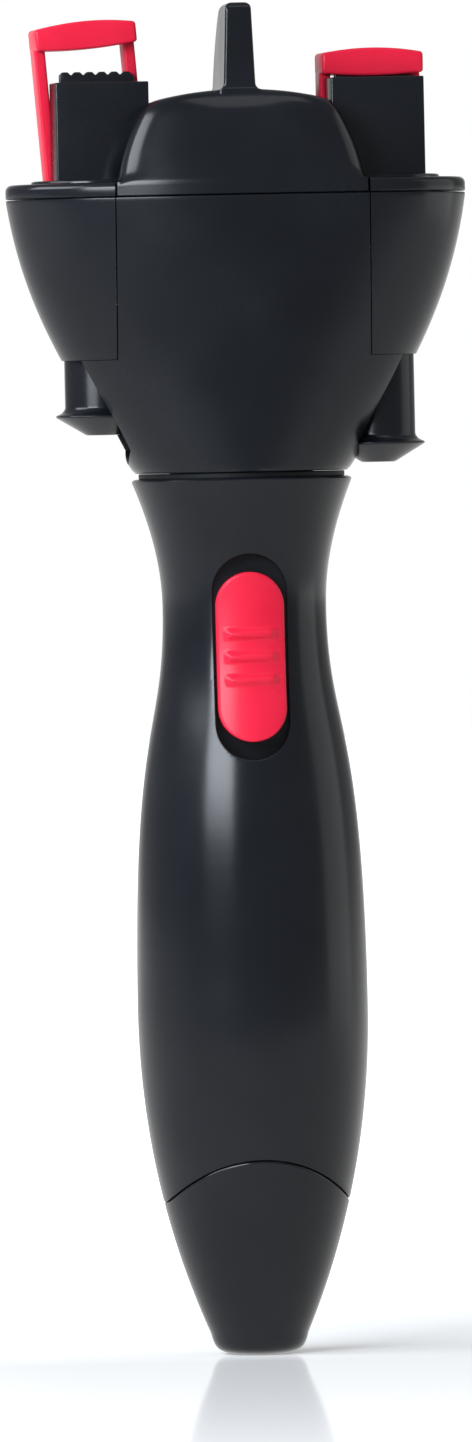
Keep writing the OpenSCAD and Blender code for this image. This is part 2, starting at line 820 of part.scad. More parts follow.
// A wheel with a pinion on top, free on its axle.
module compound(n_low, turn_low, z_low, n_top, turn_top, z_top, z_end) {
    hub = small_module * pinion_n / 2 - dedendum * small_module;
    bore = pin_r + run_play;
    translate([0, 0, z_low]) rotate(turn_low) gear(n_low, small_module, gear_w, bore);
    translate([0, 0, z_low + gear_w - EPS]) rotate(turn_top) gear(n_top, small_module, z_end - z_low - gear_w, bore);
}

module first_idler() {
    color("#f2efe2") translate([axle_x, axle_y, 0])
        compound(first_n, first_turn, level_1, pinion_n, first_turn, level_2, level_2 + gear_w);
}
module second_idler() {
    color("#f2efe2")
        compound(wheel_n, second_turn, level_2, pinion_n, second_turn, level_3, level_3 + gear_w + 0.2);
}
module third_idler() {
    color("#f2efe2") translate([axle_x, axle_y, 0])
        compound(wheel_n, third_turn, level_3, pinion_n, third_turn, level_4, level_4 + gear_w);
}
module output_gear() {
    color("#f2efe2") translate([0, 0, level_4]) rotate(output_turn) gear(wheel_n, small_module, gear_w, pin_r);
}
module output_shaft() {
    z0 = middle_z + 0.2;
    color("silver") translate([0, 0, z0]) cylinder(r = pin_r, h = clutch_z + clutch_t - z0, $fn = 32);
}
module lower_clutch_plate() {
    color("#e6e4da") translate([0, 0, clutch_z]) difference() {
        cylinder(r = clutch_r, h = clutch_t);
        translate([0, 0, -1]) cylinder(r = pin_r, h = clutch_t + 2, $fn = 32);
    }
}
module friction_ring() {
    color("#8a6a4a") translate([0, 0, clutch_z + clutch_t]) difference() {
        cylinder(r = clutch_r, h = pad_t);
        translate([0, 0, -1]) cylinder(r = clutch_r - 3.2, h = pad_t + 2);
    }
}

// ---------------------------------------------------------------- neck

module neck_bush() {
    color("#26292e") difference() {
        union() {
            translate([0, 0, bush_z]) cylinder(r = bush_r, h = handle_h - bush_z + EPS);
            translate([0, 0, handle_h]) cylinder(r = bush_flange_r, h = neck_gap - seam);
        }
        translate([0, 0, bush_z - 1]) cylinder(r = sleeve_r + run_play, h = bush_h + 3);
    }
}

module neck_sleeve() {
    color("#3a3d42") difference() {
        union() {
            translate([0, 0, sleeve_z]) cylinder(r = sleeve_r, h = web_z + 1.4 - sleeve_z);
            translate([0, 0, flange_z]) cylinder(r = flange_r, h = flange_t);
        }
        translate([0, 0, sleeve_z - 1]) cylinder(r = sleeve_r - sleeve_wall, h = web_z - sleeve_z + 1);
        cylinder(r = shaft_r + run_play, h = FAR);
        translate([0, 0, ring_z - 0.05]) difference() {
            cylinder(r = sleeve_r + 1, h = ring_t + 0.1);
            translate([0, 0, -1]) cylinder(r = sleeve_r - ring_groove, h = ring_t + 2);
        }
    }
}

module retaining_ring() {
    color("silver") translate([0, 0, ring_z]) difference() {
        cylinder(r = ring_r, h = ring_t);
        translate([0, 0, -1]) cylinder(r = sleeve_r - ring_groove + 0.02, h = ring_t + 2);
        translate([0, -FAR / 2, ring_t / 2]) cube([4, FAR, ring_t + 2], center = true);
    }
}

module drive_shaft() {
    z1 = skirt_z + 2.4;
    collar_z = web_z - 0.6 - 1;
    color("silver") translate([0, 0, upper_clutch_z]) cylinder(r = shaft_r, h = z1 - upper_clutch_z);
    color("silver") translate([0, 0, collar_z]) cylinder(r = 5, h = 1);
}

module upper_clutch_plate() {
    color("#e6e4da") translate([0, 0, upper_clutch_z]) difference() {
        cylinder(r = clutch_r, h = clutch_t);
        translate([0, 0, -1]) cylinder(r = shaft_r, h = clutch_t + 2);
    }
}

module clutch_spring() {
    z0 = upper_clutch_z + clutch_t;
    color("silver") translate([0, 0, z0]) coil(4.1, 0.45, web_z - 1.6 - z0, 3);
}

module sun_gear() {
    color("#f2efe2") difference() {
        union() {
            translate([0, 0, head_gear_z]) gear(sun_n, big_module, head_gear_w, shaft_r);
            translate([0, 0, deck_z + deck_t + 0.6 + free_play])
                cylinder(r = 6, h = head_gear_z + head_gear_w + 1.2 - deck_z - deck_t - 0.6 - free_play);
        }
        cylinder(r = shaft_r, h = FAR);
    }
}

// ---------------------------------------------------------------- head

module alcoves(extra) {
    for (s = clips) translate([s * clip_x, 0, 0]) {
        rotate_extrude() polygon([
            [0, alcove_floor - extra],
            [button_flat_r, alcove_floor - extra],
            [alcove_r + extra, alcove_floor + alcove_rise],
            [alcove_r + extra, ear_z + extra],
            [0, ear_z + extra]
        ]);
        translate([s > 0 ? 0 : -FAR, -alcove_r - extra, alcove_floor + alcove_rise])
            cube([FAR, 2 * (alcove_r + extra), ear_z + extra - alcove_floor - alcove_rise]);
    }
}

head_screw_at = [[8.6, head_z + 16.8], [8.4, rim_z - 4.6]];

module head_shell_solid() {
    difference() {
        loft(head_rings);
        alcoves(0);
        difference() {
            union() {
                loft([for (p = curve(head_curve, head_steps)) if (p[1] > flange_z)
                    ring(p[0], p[1] + (p[1] > rim_z - EPS ? 1 : 0), head_wall)]);
                translate([0, 0, flange_z]) cylinder(r = flange_r + 0.1, h = 6);
            }
            alcoves(ear_floor_t);
            for (s = clips, p = head_screw_at) across(s * p[0], p[1], 2.7, -FAR, FAR);
        }
        cylinder(r = sleeve_r + 0.1, h = flange_z + 1);
        for (s = clips) translate([s * clip_x, 0, ear_z - 1])
            cylinder(r = stem_r + 0.45, h = ear_floor_t + ear_bore_h);
        for (s = clips, p = head_screw_at) {
            across(s * p[0], p[1], screw_r, -11, FAR);
            across(s * p[0], p[1], 2.3, 9, FAR);
        }
    }
}

module ear_space(grow) {
    for (s = clips) translate([s > 0 ? ear_seam_x - grow : -FAR - ear_seam_x + grow, -FAR / 2, ear_z - grow])
        cube([FAR, FAR, FAR]);
}

module funnel_half(s) {
    color("#26292e") difference() {
        intersection() {
            head_shell_solid();
            translate([-FAR / 2, s > 0 ? seam / 4 : -FAR - seam / 4, 0]) cube([FAR, FAR, FAR]);
        }
        ear_space(seam / 2);
    }
}
module funnel_front() { funnel_half(-1); }
module funnel_rear() { funnel_half(1); }

module ear(s) {
    color("#26292e") intersection() {
        head_shell_solid();
        translate([s > 0 ? ear_seam_x + seam / 2 : -FAR - ear_seam_x - seam / 2, -FAR / 2, ear_z])
            cube([FAR, FAR, FAR]);
    }
}
module ear_left() { ear(-1); }
module ear_right() { ear(1); }

module head_screws() {
    color("silver") for (s = clips, p = head_screw_at) {
        across(s * p[0], p[1], screw_r - 0.02, -10.5, 9);
        across(s * p[0], p[1], 2.1, 9, 10.6);
    }
}

module gear_deck() {
    edge = 0.35 + head_wall;
    inner = ring(lookup(deck_z, [for (p = curve(head_curve, head_steps)) [p[1], p[0]]]), deck_z, edge);
    color("#d8d6cc") difference() {
        union() {
            translate([0, 0, deck_z]) linear_extrude(deck_t)
                polygon([for (i = [0:sides - 1]) [inner[0] * cos(360 * i / sides), inner[1] * sin(360 * i / sides)]]);
            for (s = clips) translate([s * clip_x, 0, tube_z])
                cylinder(r = tube_r + boss_wall, h = head_gear_z - 0.4 - tube_z);
            translate([0, 0, deck_z - 1]) cylinder(r = 5, h = deck_t + 1.6);
        }
        for (s = clips) translate([s * clip_x, 0, tube_z - 1]) cylinder(r = tube_r + run_play, h = FAR);
        translate([0, 0, deck_z - 2]) cylinder(r = shaft_r + run_play, h = FAR);
    }
}

// ---------------------------------------------------------------- covers

module bays(r) {
    for (s = clips) translate([s * clip_x, 0, rim_z - 1]) cylinder(r = r, h = FAR);
}

function arc(c, r, a0, a1, n) = [for (i = [0:n]) c + r * [cos(a0 + (a1 - a0) * i / n), sin(a0 + (a1 - a0) * i / n)]];

// Front outline of the dome: sloped flanks, round corners and a crowned top.
module dome_front_outline(inset) {
    w0 = dome_base_w - inset;
    w1 = dome_top_w - inset;
    zc = dome_corner_z - inset;
    zt = dome_top_z - inset;
    corner = 1.6;
    flank = atan2(w0 - w1, zc - rim_top);
    half = [
        [w0 + 3 * tan(flank), rim_z + seam - 1],
        each arc([w1 - corner, zc - corner], corner, flank, 78, 5),
        each [for (i = [1:5]) let (t = i / 5) [(w1 - corner) * (1 - t), zc + (zt - zc) * (1 - pow(1 - t, 2))]]
    ];
    polygon(concat(half, [for (i = [len(half) - 2:-1:0]) [-half[i][0], half[i][1]]]));
}

// Side outline of the dome: front and back lean in and round over at the top.
module dome_side_outline(inset) {
    d0 = head_half_d - inset;
    d1 = dome_top_d - inset;
    zt = dome_top_z + 0.4 - inset;
    round_r = 3;
    lean = atan2(d0 - d1, zt - rim_top);
    half = [
        [d0 + 3 * tan(lean), rim_z + seam - 1],
        each arc([d1 - round_r, zt - round_r], round_r, lean, 90, 6)
    ];
    polygon(concat(half, [for (i = [len(half) - 1:-1:0]) [-half[i][0], half[i][1]]]));
}

module dome_form(inset) {
    top = dome_top_z + 2;
    taper = (head_half_d - dome_top_d) * (top - rim_top) / (dome_top_z - rim_top);
    intersection() {
        rotate([90, 0, 0]) translate([0, 0, -FAR / 2]) linear_extrude(FAR) dome_front_outline(inset);
        rotate([90, 0, 90]) translate([0, 0, -FAR / 2]) linear_extrude(FAR) dome_side_outline(inset);
        loft([
            [head_half_w - inset, head_half_d - inset, rim_z + seam],
            [head_half_w - inset, head_half_d - inset, rim_top],
            [head_half_w - inset - taper, head_half_d - inset - taper, top]
        ]);
    }
}

// The divider: an upright fin whose top rounds down to the back.
module fin() {
    root_z = dome_top_z - 3;
    tip = 1.1;
    back_y = fin_root_d - fin_front_y;
    intersection() {
        rotate([90, 0, 90]) translate([0, 0, -FAR / 2]) linear_extrude(FAR) polygon(concat(
            [[-fin_front_y, root_z], [back_y, root_z]],
            [for (i = [0:9]) bez([
                [back_y, dome_top_z],
                [back_y - 2, fin_top_z - 7],
                [back_y - 10.5, fin_top_z - 1],
                [back_y - 16, fin_top_z]
            ], i / 9)],
            arc([1.5 - fin_front_y, fin_top_z - 1.5], 1.5, 90, 180, 4)
        ));
        rotate([90, 0, 0]) translate([0, 0, -FAR / 2]) linear_extrude(FAR) polygon(concat(
            [[-fin_root_t / 2 - 1.2, root_z], [fin_root_t / 2 + 1.2, root_z]],
            [for (i = [0:4]) let (a = 90 * i / 4)
                [fin_root_t / 2 + 1.2 * (1 - sin(a)), dome_top_z - 0.2 + 1.2 * (1 - cos(a))]],
            arc([fin_tip_t / 2 - tip, fin_top_z - tip], tip, 0, 90, 4),
            arc([-fin_tip_t / 2 + tip, fin_top_z - tip], tip, 90, 180, 4),
            [for (i = [4:-1:0]) let (a = 90 * i / 4)
                [-fin_root_t / 2 - 1.2 * (1 - sin(a)), dome_top_z - 0.2 + 1.2 * (1 - cos(a))]]
        ));
    }
}

module dome_cover() {
    wall = 2;
    color("#26292e") union() {
        difference() {
            union() {
                intersection() {
                    loft(rim_rings);
                    translate([-ear_seam_x + seam / 2, -FAR / 2, 0]) cube([2 * ear_seam_x - seam, FAR, FAR]);
                }
                dome_form(0);
            }
            difference() {
                dome_form(wall);
                bays(dome_bay_r + wall);
            }
            bays(dome_bay_r);
        }
        fin();
    }
}

module wing_cover(s) {
    inner = [head_half_w - head_wall, head_half_d - head_wall];
    color("#26292e") difference() {
        intersection() {
            loft(rim_rings);
            translate([s > 0 ? ear_seam_x + seam / 2 : -FAR - ear_seam_x - seam / 2, -FAR / 2, 0])
                cube([FAR, FAR, FAR]);
        }
        bays(hole_r);
        loft([[inner[0], inner[1], rim_z - 1], [inner[0], inner[1], rim_z + seam + 0.4]]);
    }
}
module wing_cover_left() { wing_cover(-1); }
module wing_cover_right() { wing_cover(1); }

// ---------------------------------------------------------------- clips

module at_clip(s) {
    translate([s * clip_x, 0, 0]) rotate(clip_turn) children();
}

module leg_slots() {
    w = leg_w + 2 * (free_play + lean_play);
    d = frame_back - leg_front + 2 * free_play;
    for (s = clips) translate([s * (clip_half_w - leg_w / 2), (leg_front + frame_back) / 2, table_z])
        cube([w, d, 3 * table_t], center = true);
}

module turntable(s) {
    color("#1f2226") at_clip(s) difference() {
        translate([0, 0, table_z]) cylinder(r = table_r, h = table_t);
        leg_slots();
    }
}
module turntable_left() { turntable(-1); }
module turntable_right() { turntable(1); }

module clip_block(s) {
    step = plate_w / comb_teeth;
    color("#1f2226") at_clip(s) union() {
        translate([-block_half_w, -block_front, table_top])
            cube([2 * block_half_w, block_front + block_back, block_top_z - table_top]);
        translate([-core_w, 0, table_top])
            cube([2 * core_w, frame_back - block_back, block_top_z - table_top]);
        translate([0, -plate_back, 0]) rotate([90, 0, 0]) linear_extrude(plate_front - plate_back)
            polygon(concat(
                [[-plate_w / 2, block_top_z - 1]],
                [for (i = [0:comb_teeth - 1]) each [
                    [-plate_w / 2 + i * step, comb_top - comb_tooth_h],
                    [-plate_w / 2 + (i + 0.25) * step, comb_top],
                    [-plate_w / 2 + (i + 0.65) * step, comb_top],
                    [-plate_w / 2 + (i + 0.9) * step, comb_top - comb_tooth_h]
                ]],
                [[plate_w / 2, comb_top - comb_tooth_h], [plate_w / 2, block_top_z - 1]]
            ));
    }
}
module clip_block_left() { clip_block(-1); }
module clip_block_right() { clip_block(1); }

module clip_barrel(s) {
    color("#33363b") at_clip(s) difference() {
        union() {
            translate([0, 0, skirt_z]) cylinder(r = skirt_r, h = table_z - skirt_z);
            translate([0, 0, tube_z]) cylinder(r = tube_r, h = skirt_z - tube_z + EPS);
        }
        translate([0, 0, cavity_z]) cylinder(r = skirt_r - skirt_wall, h = FAR);
        translate([0, 0, tube_z - 1]) cylinder(r = bore_r, h = FAR);
    }
}
module clip_barrel_left() { clip_barrel(-1); }
module clip_barrel_right() { clip_barrel(1); }

function clip_gear_turn(s) = mesh_turn(0, sun_n, clip_n, s > 0 ? 0 : 180);
module clip_gear(s) {
    color("#f2efe2") translate([s * clip_x, 0, head_gear_z])
        rotate(clip_gear_turn(s)) gear(clip_n, big_module, head_gear_w - 0.02, tube_r);
}
module clip_gear_left() { clip_gear(-1); }
module clip_gear_right() { clip_gear(1); }

// The moving frame stands closed on the right and open on the left.
function lift(s) = s < 0 ? clip_open : 0;
module clip_frame(s) {
    lean = s < 0 ? -open_lean : 0;
    pocket_h = comb_top + free_play - bar_z + 2;
    color("#ec2d48") at_clip(s) translate([0, 0, lift(s)]) {
        difference() {
            intersection() {
                translate([0, 0, bridge_z]) cylinder(r = skirt_r - skirt_wall - free_play, h = bridge_t);
                translate([-clip_half_w, -6, bridge_z]) cube([2 * clip_half_w, 6 + frame_back, bridge_t]);
            }
            translate([0, 0, bridge_z - 1]) cylinder(r = peg_r + 0.02, h = bridge_t + 2);
        }
        translate([0, frame_back - leg_inset, 0]) rotate([90, 0, 0])
            linear_extrude(frame_back - leg_inset - leg_front)
                for (t = clips) polygon(leg_outline(t, lean));
        translate([0, 0, lean_z]) rotate([0, lean, 0]) translate([0, 0, -lean_z]) difference() {
            translate([0, frame_back, 0]) rotate([90, 0, 0]) linear_extrude(frame_back + bar_lip_y)
                polygon(bar_outline(bar_z, bar_z + bar_h));
            translate([-clip_half_w + 1, -plate_front - free_play, bar_z - 2])
                cube([2 * clip_half_w - 2, plate_front - plate_back + 2 * free_play, pocket_h]);
        }
    }
}
// Front outline of a leg, bent where the bar above it begins to lean.
function leaned(p, lean) = let (h = p[1] - lean_z) [
    p[0] * cos(lean) + h * sin(lean),
    lean_z - p[0] * sin(lean) + h * cos(lean)
];
function leg_outline(t, lean) =
    let (xi = t * (clip_half_w - leg_w), xo = t * (clip_half_w - leg_inset)) [
        [xo, bridge_z + bridge_t / 2],
        [xo, lean_z - xo * tan(lean / 2)],
        leaned([xo, leg_top], lean),
        leaned([xi, leg_top], lean),
        [xi, lean_z - xi * tan(lean / 2)],
        [xi, bridge_z + bridge_t / 2]
    ];
// Front outline of the bar: its top is crowned and its lower edge sags to the middle.
function bar_outline(z0, z1) = concat(
    [for (i = [0:12]) let (x = 1 - i / 6) [clip_half_w * x, z1 - bar_crown * x * x]],
    [for (i = [0:12]) let (x = i / 6 - 1) [clip_half_w * x, z0 + bar_crown * x * x]]
);
module clip_frame_left() { clip_frame(-1); }
module clip_frame_right() { clip_frame(1); }

module push_button(s) {
    z0 = button_z;
    z1 = button_z + flange_rise;
    color("#1f2226") translate([s * clip_x, 0, lift(s)]) rotate_extrude() polygon([
        [0, z0],
        [button_flat_r, z0],
        [foot_flange_r, z1],
        [foot_flange_r, z1 + 0.3],
        [stem_r + 0.6, z1 + 0.8],
        [stem_r, z1 + 1.6],
        [stem_r, bridge_z],
        [peg_r, bridge_z],
        [peg_r, bridge_z + bridge_t],
        [0, bridge_z + bridge_t]
    ]);
}
module push_button_left() { push_button(-1); }
module push_button_right() { push_button(1); }

front_handle_shell();
rear_handle_shell();
handle_screws();
battery_cradle();
cell_left();
cell_right();
cradle_contacts();
cradle_spring();
battery_cap();
cap_contact();
cap_spring();
slider_button();
switch_lever();
switch_body();
circuit_board();
small_screws();
motor_can();
motor_end_bell();
motor_shaft();
motor_pinion();
motor_plate();
middle_plate();
top_plate();
idler_axle();
first_idler();
second_idler();
third_idler();
output_gear();
output_shaft();
lower_clutch_plate();
friction_ring();
neck_bush();
neck_sleeve();
retaining_ring();
drive_shaft();
upper_clutch_plate();
clutch_spring();
sun_gear();
funnel_front();
funnel_rear();
ear_left();
ear_right();
head_screws();
gear_deck();
dome_cover();
wing_cover_left();
wing_cover_right();
turntable_left();
turntable_right();
clip_block_left();
clip_block_right();
clip_barrel_left();
clip_barrel_right();
clip_gear_left();
clip_gear_right();
clip_frame_left();
clip_frame_right();
push_button_left();
push_button_right();
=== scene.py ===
# %% [markdown]
# # An automatic hair braider in glossy black plastic
#
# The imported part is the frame: it says where every piece is and what moves. This
# script puts smooth, finished pieces round it, lights them as a plain studio would,
# and looks at them as the photographer did. Shapes are written in millimetres and
# turned to metres when a piece is finished.

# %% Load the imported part
import json
import math

import bmesh
import bpy
import numpy as np
from mathutils import Matrix, Vector


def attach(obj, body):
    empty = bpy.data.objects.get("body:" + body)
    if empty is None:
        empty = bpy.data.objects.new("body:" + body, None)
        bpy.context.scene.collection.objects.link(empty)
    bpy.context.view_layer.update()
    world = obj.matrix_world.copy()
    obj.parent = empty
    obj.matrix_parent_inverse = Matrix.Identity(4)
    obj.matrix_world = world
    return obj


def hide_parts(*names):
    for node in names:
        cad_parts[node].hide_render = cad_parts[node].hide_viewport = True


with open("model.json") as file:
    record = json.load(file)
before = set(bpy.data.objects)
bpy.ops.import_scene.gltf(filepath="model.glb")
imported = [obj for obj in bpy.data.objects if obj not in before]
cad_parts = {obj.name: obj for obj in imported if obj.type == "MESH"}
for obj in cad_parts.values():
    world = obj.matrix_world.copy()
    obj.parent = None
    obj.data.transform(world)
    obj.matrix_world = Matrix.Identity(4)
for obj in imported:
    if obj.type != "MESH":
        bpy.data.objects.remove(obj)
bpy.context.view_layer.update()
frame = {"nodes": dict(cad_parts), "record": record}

# %% [markdown]
# ## Helpers for meshes
#
# Most of the tool is moulded in soft curves, so most pieces start as a grid whose
# points are moved to a place that a small function works out. A grid keeps even
# quads, and even quads give clean reflections on glossy plastic.

# %% A woven grid, and carving one shape with another
MM = 0.001
sides = (-1, 1)


def woven(columns, rows, place, around=False, loop=False):
    """A sheet of quads. Point (i, j) of the grid goes to place(i, j). around joins
    the last column to the first, loop the last row to the first."""
    bm = bmesh.new()
    bmesh.ops.create_grid(bm, x_segments=columns, y_segments=rows, size=0.5)
    for v in bm.verts:
        i, j = round((v.co.x + 0.5) * columns), round((v.co.y + 0.5) * rows)
        v.co = place(0 if around and i == columns else i, 0 if loop and j == rows else j)
    bmesh.ops.remove_doubles(bm, verts=bm.verts, dist=1e-4)
    return bm


def close_up(bm):
    """Closes every open rim with one face and turns all faces outwards."""
    rims = [e for e in bm.edges if e.is_boundary]
    if rims:
        bmesh.ops.holes_fill(bm, edges=rims, sides=0)
    bmesh.ops.recalc_face_normals(bm, faces=bm.faces)
    return bm


def as_object(bm, name):
    mesh = bpy.data.meshes.new(name)
    bm.to_mesh(mesh)
    bm.free()
    obj = bpy.data.objects.new(name, mesh)
    bpy.context.scene.collection.objects.link(obj)
    return obj


def carve(body, tool, how="DIFFERENCE"):
    """Takes the tool's shape out of the body, or joins it on. Both are used up."""
    pair = [as_object(body, "carve_body"), as_object(tool, "carve_tool")]
    boolean = pair[0].modifiers.new("carve", "BOOLEAN")
    boolean.operation, boolean.solver, boolean.object = how, "EXACT", pair[1]
    out = bmesh.new()
    out.from_object(pair[0], bpy.context.evaluated_depsgraph_get())
    bmesh.ops.remove_doubles(out, verts=out.verts, dist=1e-3)
    for obj in pair:
        mesh = obj.data
        bpy.data.objects.remove(obj)
        bpy.data.meshes.remove(mesh)
    return out


def block(x0, x1, y0, y1, z0, z1):
    bm = bmesh.new()
    bmesh.ops.create_cube(bm, size=1)
    bmesh.ops.scale(bm, vec=(x1 - x0, y1 - y0, z1 - z0), verts=bm.verts)
    bmesh.ops.translate(bm, vec=((x0 + x1) / 2, (y0 + y1) / 2, (z0 + z1) / 2), verts=bm.verts)
    return bm


def spun(profile, steps=96, at=(0, 0)):
    """Turns a profile of (radius, height) once round an upright axis at a place."""
    bm = bmesh.new()
    verts = [bm.verts.new((r, 0, z)) for r, z in profile]
    edges = [bm.edges.new(pair) for pair in zip(verts, verts[1:])]
    bmesh.ops.spin(bm, geom=verts + edges, axis=(0, 0, 1), cent=(0, 0, 0), angle=math.tau,
                   steps=steps, use_merge=True)
    bmesh.ops.remove_doubles(bm, verts=bm.verts, dist=1e-4)
    bmesh.ops.translate(bm, vec=(*at, 0), verts=bm.verts)
    return close_up(bm)


def cylinder(r, z0, z1, steps, at=(0, 0)):
    return spun([(0, z0), (r, z0), (r, z1), (0, z1)], steps, at)


def lay_back(bm, x, z):
    """Lays an upright shape along the depth of the tool, at a place on its front."""
    bmesh.ops.rotate(bm, cent=(0, 0, 0), matrix=Matrix.Rotation(-math.pi / 2, 3, "X"), verts=bm.verts)
    bmesh.ops.translate(bm, vec=(x, 0, z), verts=bm.verts)
    return bm


def merge(*parts):
    """Puts several shapes in one bmesh without joining their surfaces."""
    whole = bmesh.new()
    for part in parts:
        mesh = bpy.data.meshes.new("part")
        part.to_mesh(mesh)
        part.free()
        whole.from_mesh(mesh)
        bpy.data.meshes.remove(mesh)
    return whole


def soften(bm, width, angle=40, segments=3, where=None):
    """Rounds the edges that are sharper than an angle."""
    sharp = [e for e in bm.edges if len(e.link_faces) == 2
             and e.calc_face_angle(0) > math.radians(angle) and (where is None or where(e))]
    bmesh.ops.bevel(bm, geom=sharp, offset=width, offset_type="OFFSET", segments=segments,
                    profile=0.5, affect="EDGES", clamp_overlap=True, material=-1)
    return bm


SHARP = math.radians(35)


def keep(bm, name, body, slot, nodes):
    """Finishes a piece: metres, smooth shading, its material, and the body it rides on."""
    bmesh.ops.scale(bm, vec=(MM, MM, MM), verts=bm.verts)
    bmesh.ops.triangulate(bm, faces=[f for f in bm.faces if len(f.verts) > 4])
    obj = as_object(bm, name)
    obj.data.shade_smooth()
    obj.data.set_sharp_from_angle(angle=SHARP)
    obj.data.materials.append(finishes[slot])
    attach(obj, body)
    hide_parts(*nodes)
    obj.data.calc_loop_triangles()
    print(f"{name}: {len(obj.data.loop_triangles)} triangles")


# %% [markdown]
# ## Helpers for materials
#
# A finish is a small tree of nodes. One function adds a node with its settings and
# its inputs, and another turns a colour written as on a screen to the linear values
# that light is added up in.

# %% Adding nodes, and colours
def linear(code):
    parts = [int(code[i:i + 2], 16) / 255 for i in (1, 3, 5)]
    return (*[c / 12.92 if c <= 0.04045 else ((c + 0.055) / 1.055) ** 2.4 for c in parts], 1)


def add(tree, kind, settings, inputs):
    """Adds one node. An input's value is a number, a colour or another node's socket."""
    node = tree.nodes.new("ShaderNode" + kind)
    for key, value in settings.items():
        setattr(node, key, value)
    for key, value in inputs.items():
        if isinstance(value, bpy.types.NodeSocket):
            tree.links.new(value, node.inputs[key])
        else:
            node.inputs[key].default_value = value
    return node


def new_material(name):
    material = bpy.data.materials.new(name)
    material.use_nodes = True
    tree = material.node_tree
    tree.nodes.clear()
    out = add(tree, "OutputMaterial", {}, {})
    place = add(tree, "TexCoord", {}, {}).outputs["Object"]
    return material, tree, out, place


def ramp(tree, source, stops):
    node = add(tree, "ValToRGB", {}, {"Fac": source})
    elements = node.color_ramp.elements
    while len(elements) < len(stops):
        elements.new(0.5)
    for element, (position, colour) in zip(elements, stops):
        element.position = position
        element.color = colour
    return node.outputs["Color"]


# %% [markdown]
# ## Moulded plastics
#
# The casings are ABS from polished moulds: almost a mirror, but with a faint orange
# peel that bends long reflections, and with rubbed places from being handled. The
# colour itself hardly changes. So the colour gets a very soft cloud, the roughness a
# stronger one with fine hairline scuffs, and the bump a peel a few millimetres wide.
# The inner charcoal parts come from a textured mould and are satin. Acetal is waxy, and
# light goes a little way into it.

# %% Gloss ABS, black and red, satin ABS and acetal
CLOUD_MM, SCUFF_MM, HANDLED_MM = 18, 2.2, 30


def moulded(name, low, high, gloss, rubbed, peel_mm, peel_depth, shine, subsurface=0.0, glow=(1, 0.1, 0.1)):
    """Injection moulded plastic. gloss and rubbed are the roughness of clean and of
    handled places, peel the size and depth of the orange peel in mm, shine how strong
    its mirror is, and subsurface and glow how light spreads under its skin."""
    material, tree, out, place = new_material(name)
    cloud = add(tree, "TexNoise", {}, {
        "Vector": place, "Scale": 1 / (CLOUD_MM * MM), "Detail": 3.0, "Roughness": 0.55})
    colour = ramp(tree, cloud.outputs["Fac"], [(0.35, linear(low)), (0.68, linear(high))])
    stretch = add(tree, "Mapping", {}, {"Vector": place, "Rotation": (0.3, 0.5, 0.9), "Scale": (1, 1, 14)})
    hairline = add(tree, "TexNoise", {}, {
        "Vector": stretch.outputs["Vector"], "Scale": 1 / (SCUFF_MM * MM), "Detail": 4.0})
    hair = add(tree, "MapRange", {}, {
        "Value": hairline.outputs["Fac"], "From Min": 0.6, "From Max": 0.75, "To Min": 0.0, "To Max": 0.05})
    handled = add(tree, "TexNoise", {}, {"Vector": place, "Scale": 1 / (HANDLED_MM * MM), "Detail": 2.0})
    rub = add(tree, "MapRange", {}, {
        "Value": handled.outputs["Fac"], "From Min": 0.4, "From Max": 0.7, "To Min": gloss, "To Max": rubbed})
    rough = add(tree, "Math", {"operation": "ADD"}, {0: rub.outputs["Result"], 1: hair.outputs["Result"]})
    peel = add(tree, "TexNoise", {}, {"Vector": place, "Scale": 1 / (peel_mm * MM), "Detail": 1.0})
    bump = add(tree, "Bump", {}, {
        "Height": peel.outputs["Fac"], "Strength": 1.0, "Distance": peel_depth * MM})
    shader = add(tree, "BsdfPrincipled", {}, {
        "Base Color": colour, "Roughness": rough.outputs["Value"], "Normal": bump.outputs["Normal"],
        "IOR": 1.5, "Specular IOR Level": shine, "Subsurface Weight": subsurface,
        "Subsurface Radius": glow, "Subsurface Scale": 1.2 * MM})
    tree.links.new(shader.outputs["BSDF"], out.inputs["Surface"])
    return material


black_abs = moulded("gloss_abs_black_moulded", "#0d1015", "#13161b", 0.17, 0.26, 5.0, 0.010, 0.3)
red_abs = moulded("gloss_abs_red_moulded", "#d21b37", "#da233e", 0.26, 0.34, 2.5, 0.006, 0.18, 0.1)
dark_abs = moulded("satin_abs_charcoal_moulded", "#0f1113", "#16181a", 0.42, 0.5, 0.8, 0.008, 0.12)
acetal = moulded("acetal_natural_moulded", "#e9e5d6", "#f1eee2", 0.35, 0.42, 1.0, 0.004, 0.5, 0.2,
                 (1, 0.9, 0.7))
print("moulded plastics:", black_abs.name, red_abs.name, dark_abs.name, acetal.name)

# %% [markdown]
# ## Metals and the small inner materials
#
# Drawn and turned steel shows lines along the way it was worked, so its roughness
# follows a noise that is stretched a hundred times. The cells wear a printed film,
# the circuit board a solder mask over a glass weave, and the clutch ring is felt.

# %% Steel, brass, cell film, board and felt
def worked_metal(name, tone, roughness, grain_mm):
    material, tree, out, place = new_material(name)
    drawn = add(tree, "Mapping", {}, {"Vector": place, "Scale": (1, 1, 0.01)})
    lines = add(tree, "TexNoise", {}, {
        "Vector": drawn.outputs["Vector"], "Scale": 1 / (grain_mm * MM), "Detail": 3.0})
    rough = add(tree, "MapRange", {}, {
        "Value": lines.outputs["Fac"], "To Min": roughness - 0.08, "To Max": roughness + 0.1})
    bump = add(tree, "Bump", {}, {"Height": lines.outputs["Fac"], "Strength": 0.6, "Distance": 0.004 * MM})
    shader = add(tree, "BsdfPrincipled", {}, {
        "Base Color": linear(tone), "Metallic": 1.0, "Roughness": rough.outputs["Result"],
        "Normal": bump.outputs["Normal"]})
    tree.links.new(shader.outputs["BSDF"], out.inputs["Surface"])
    return material


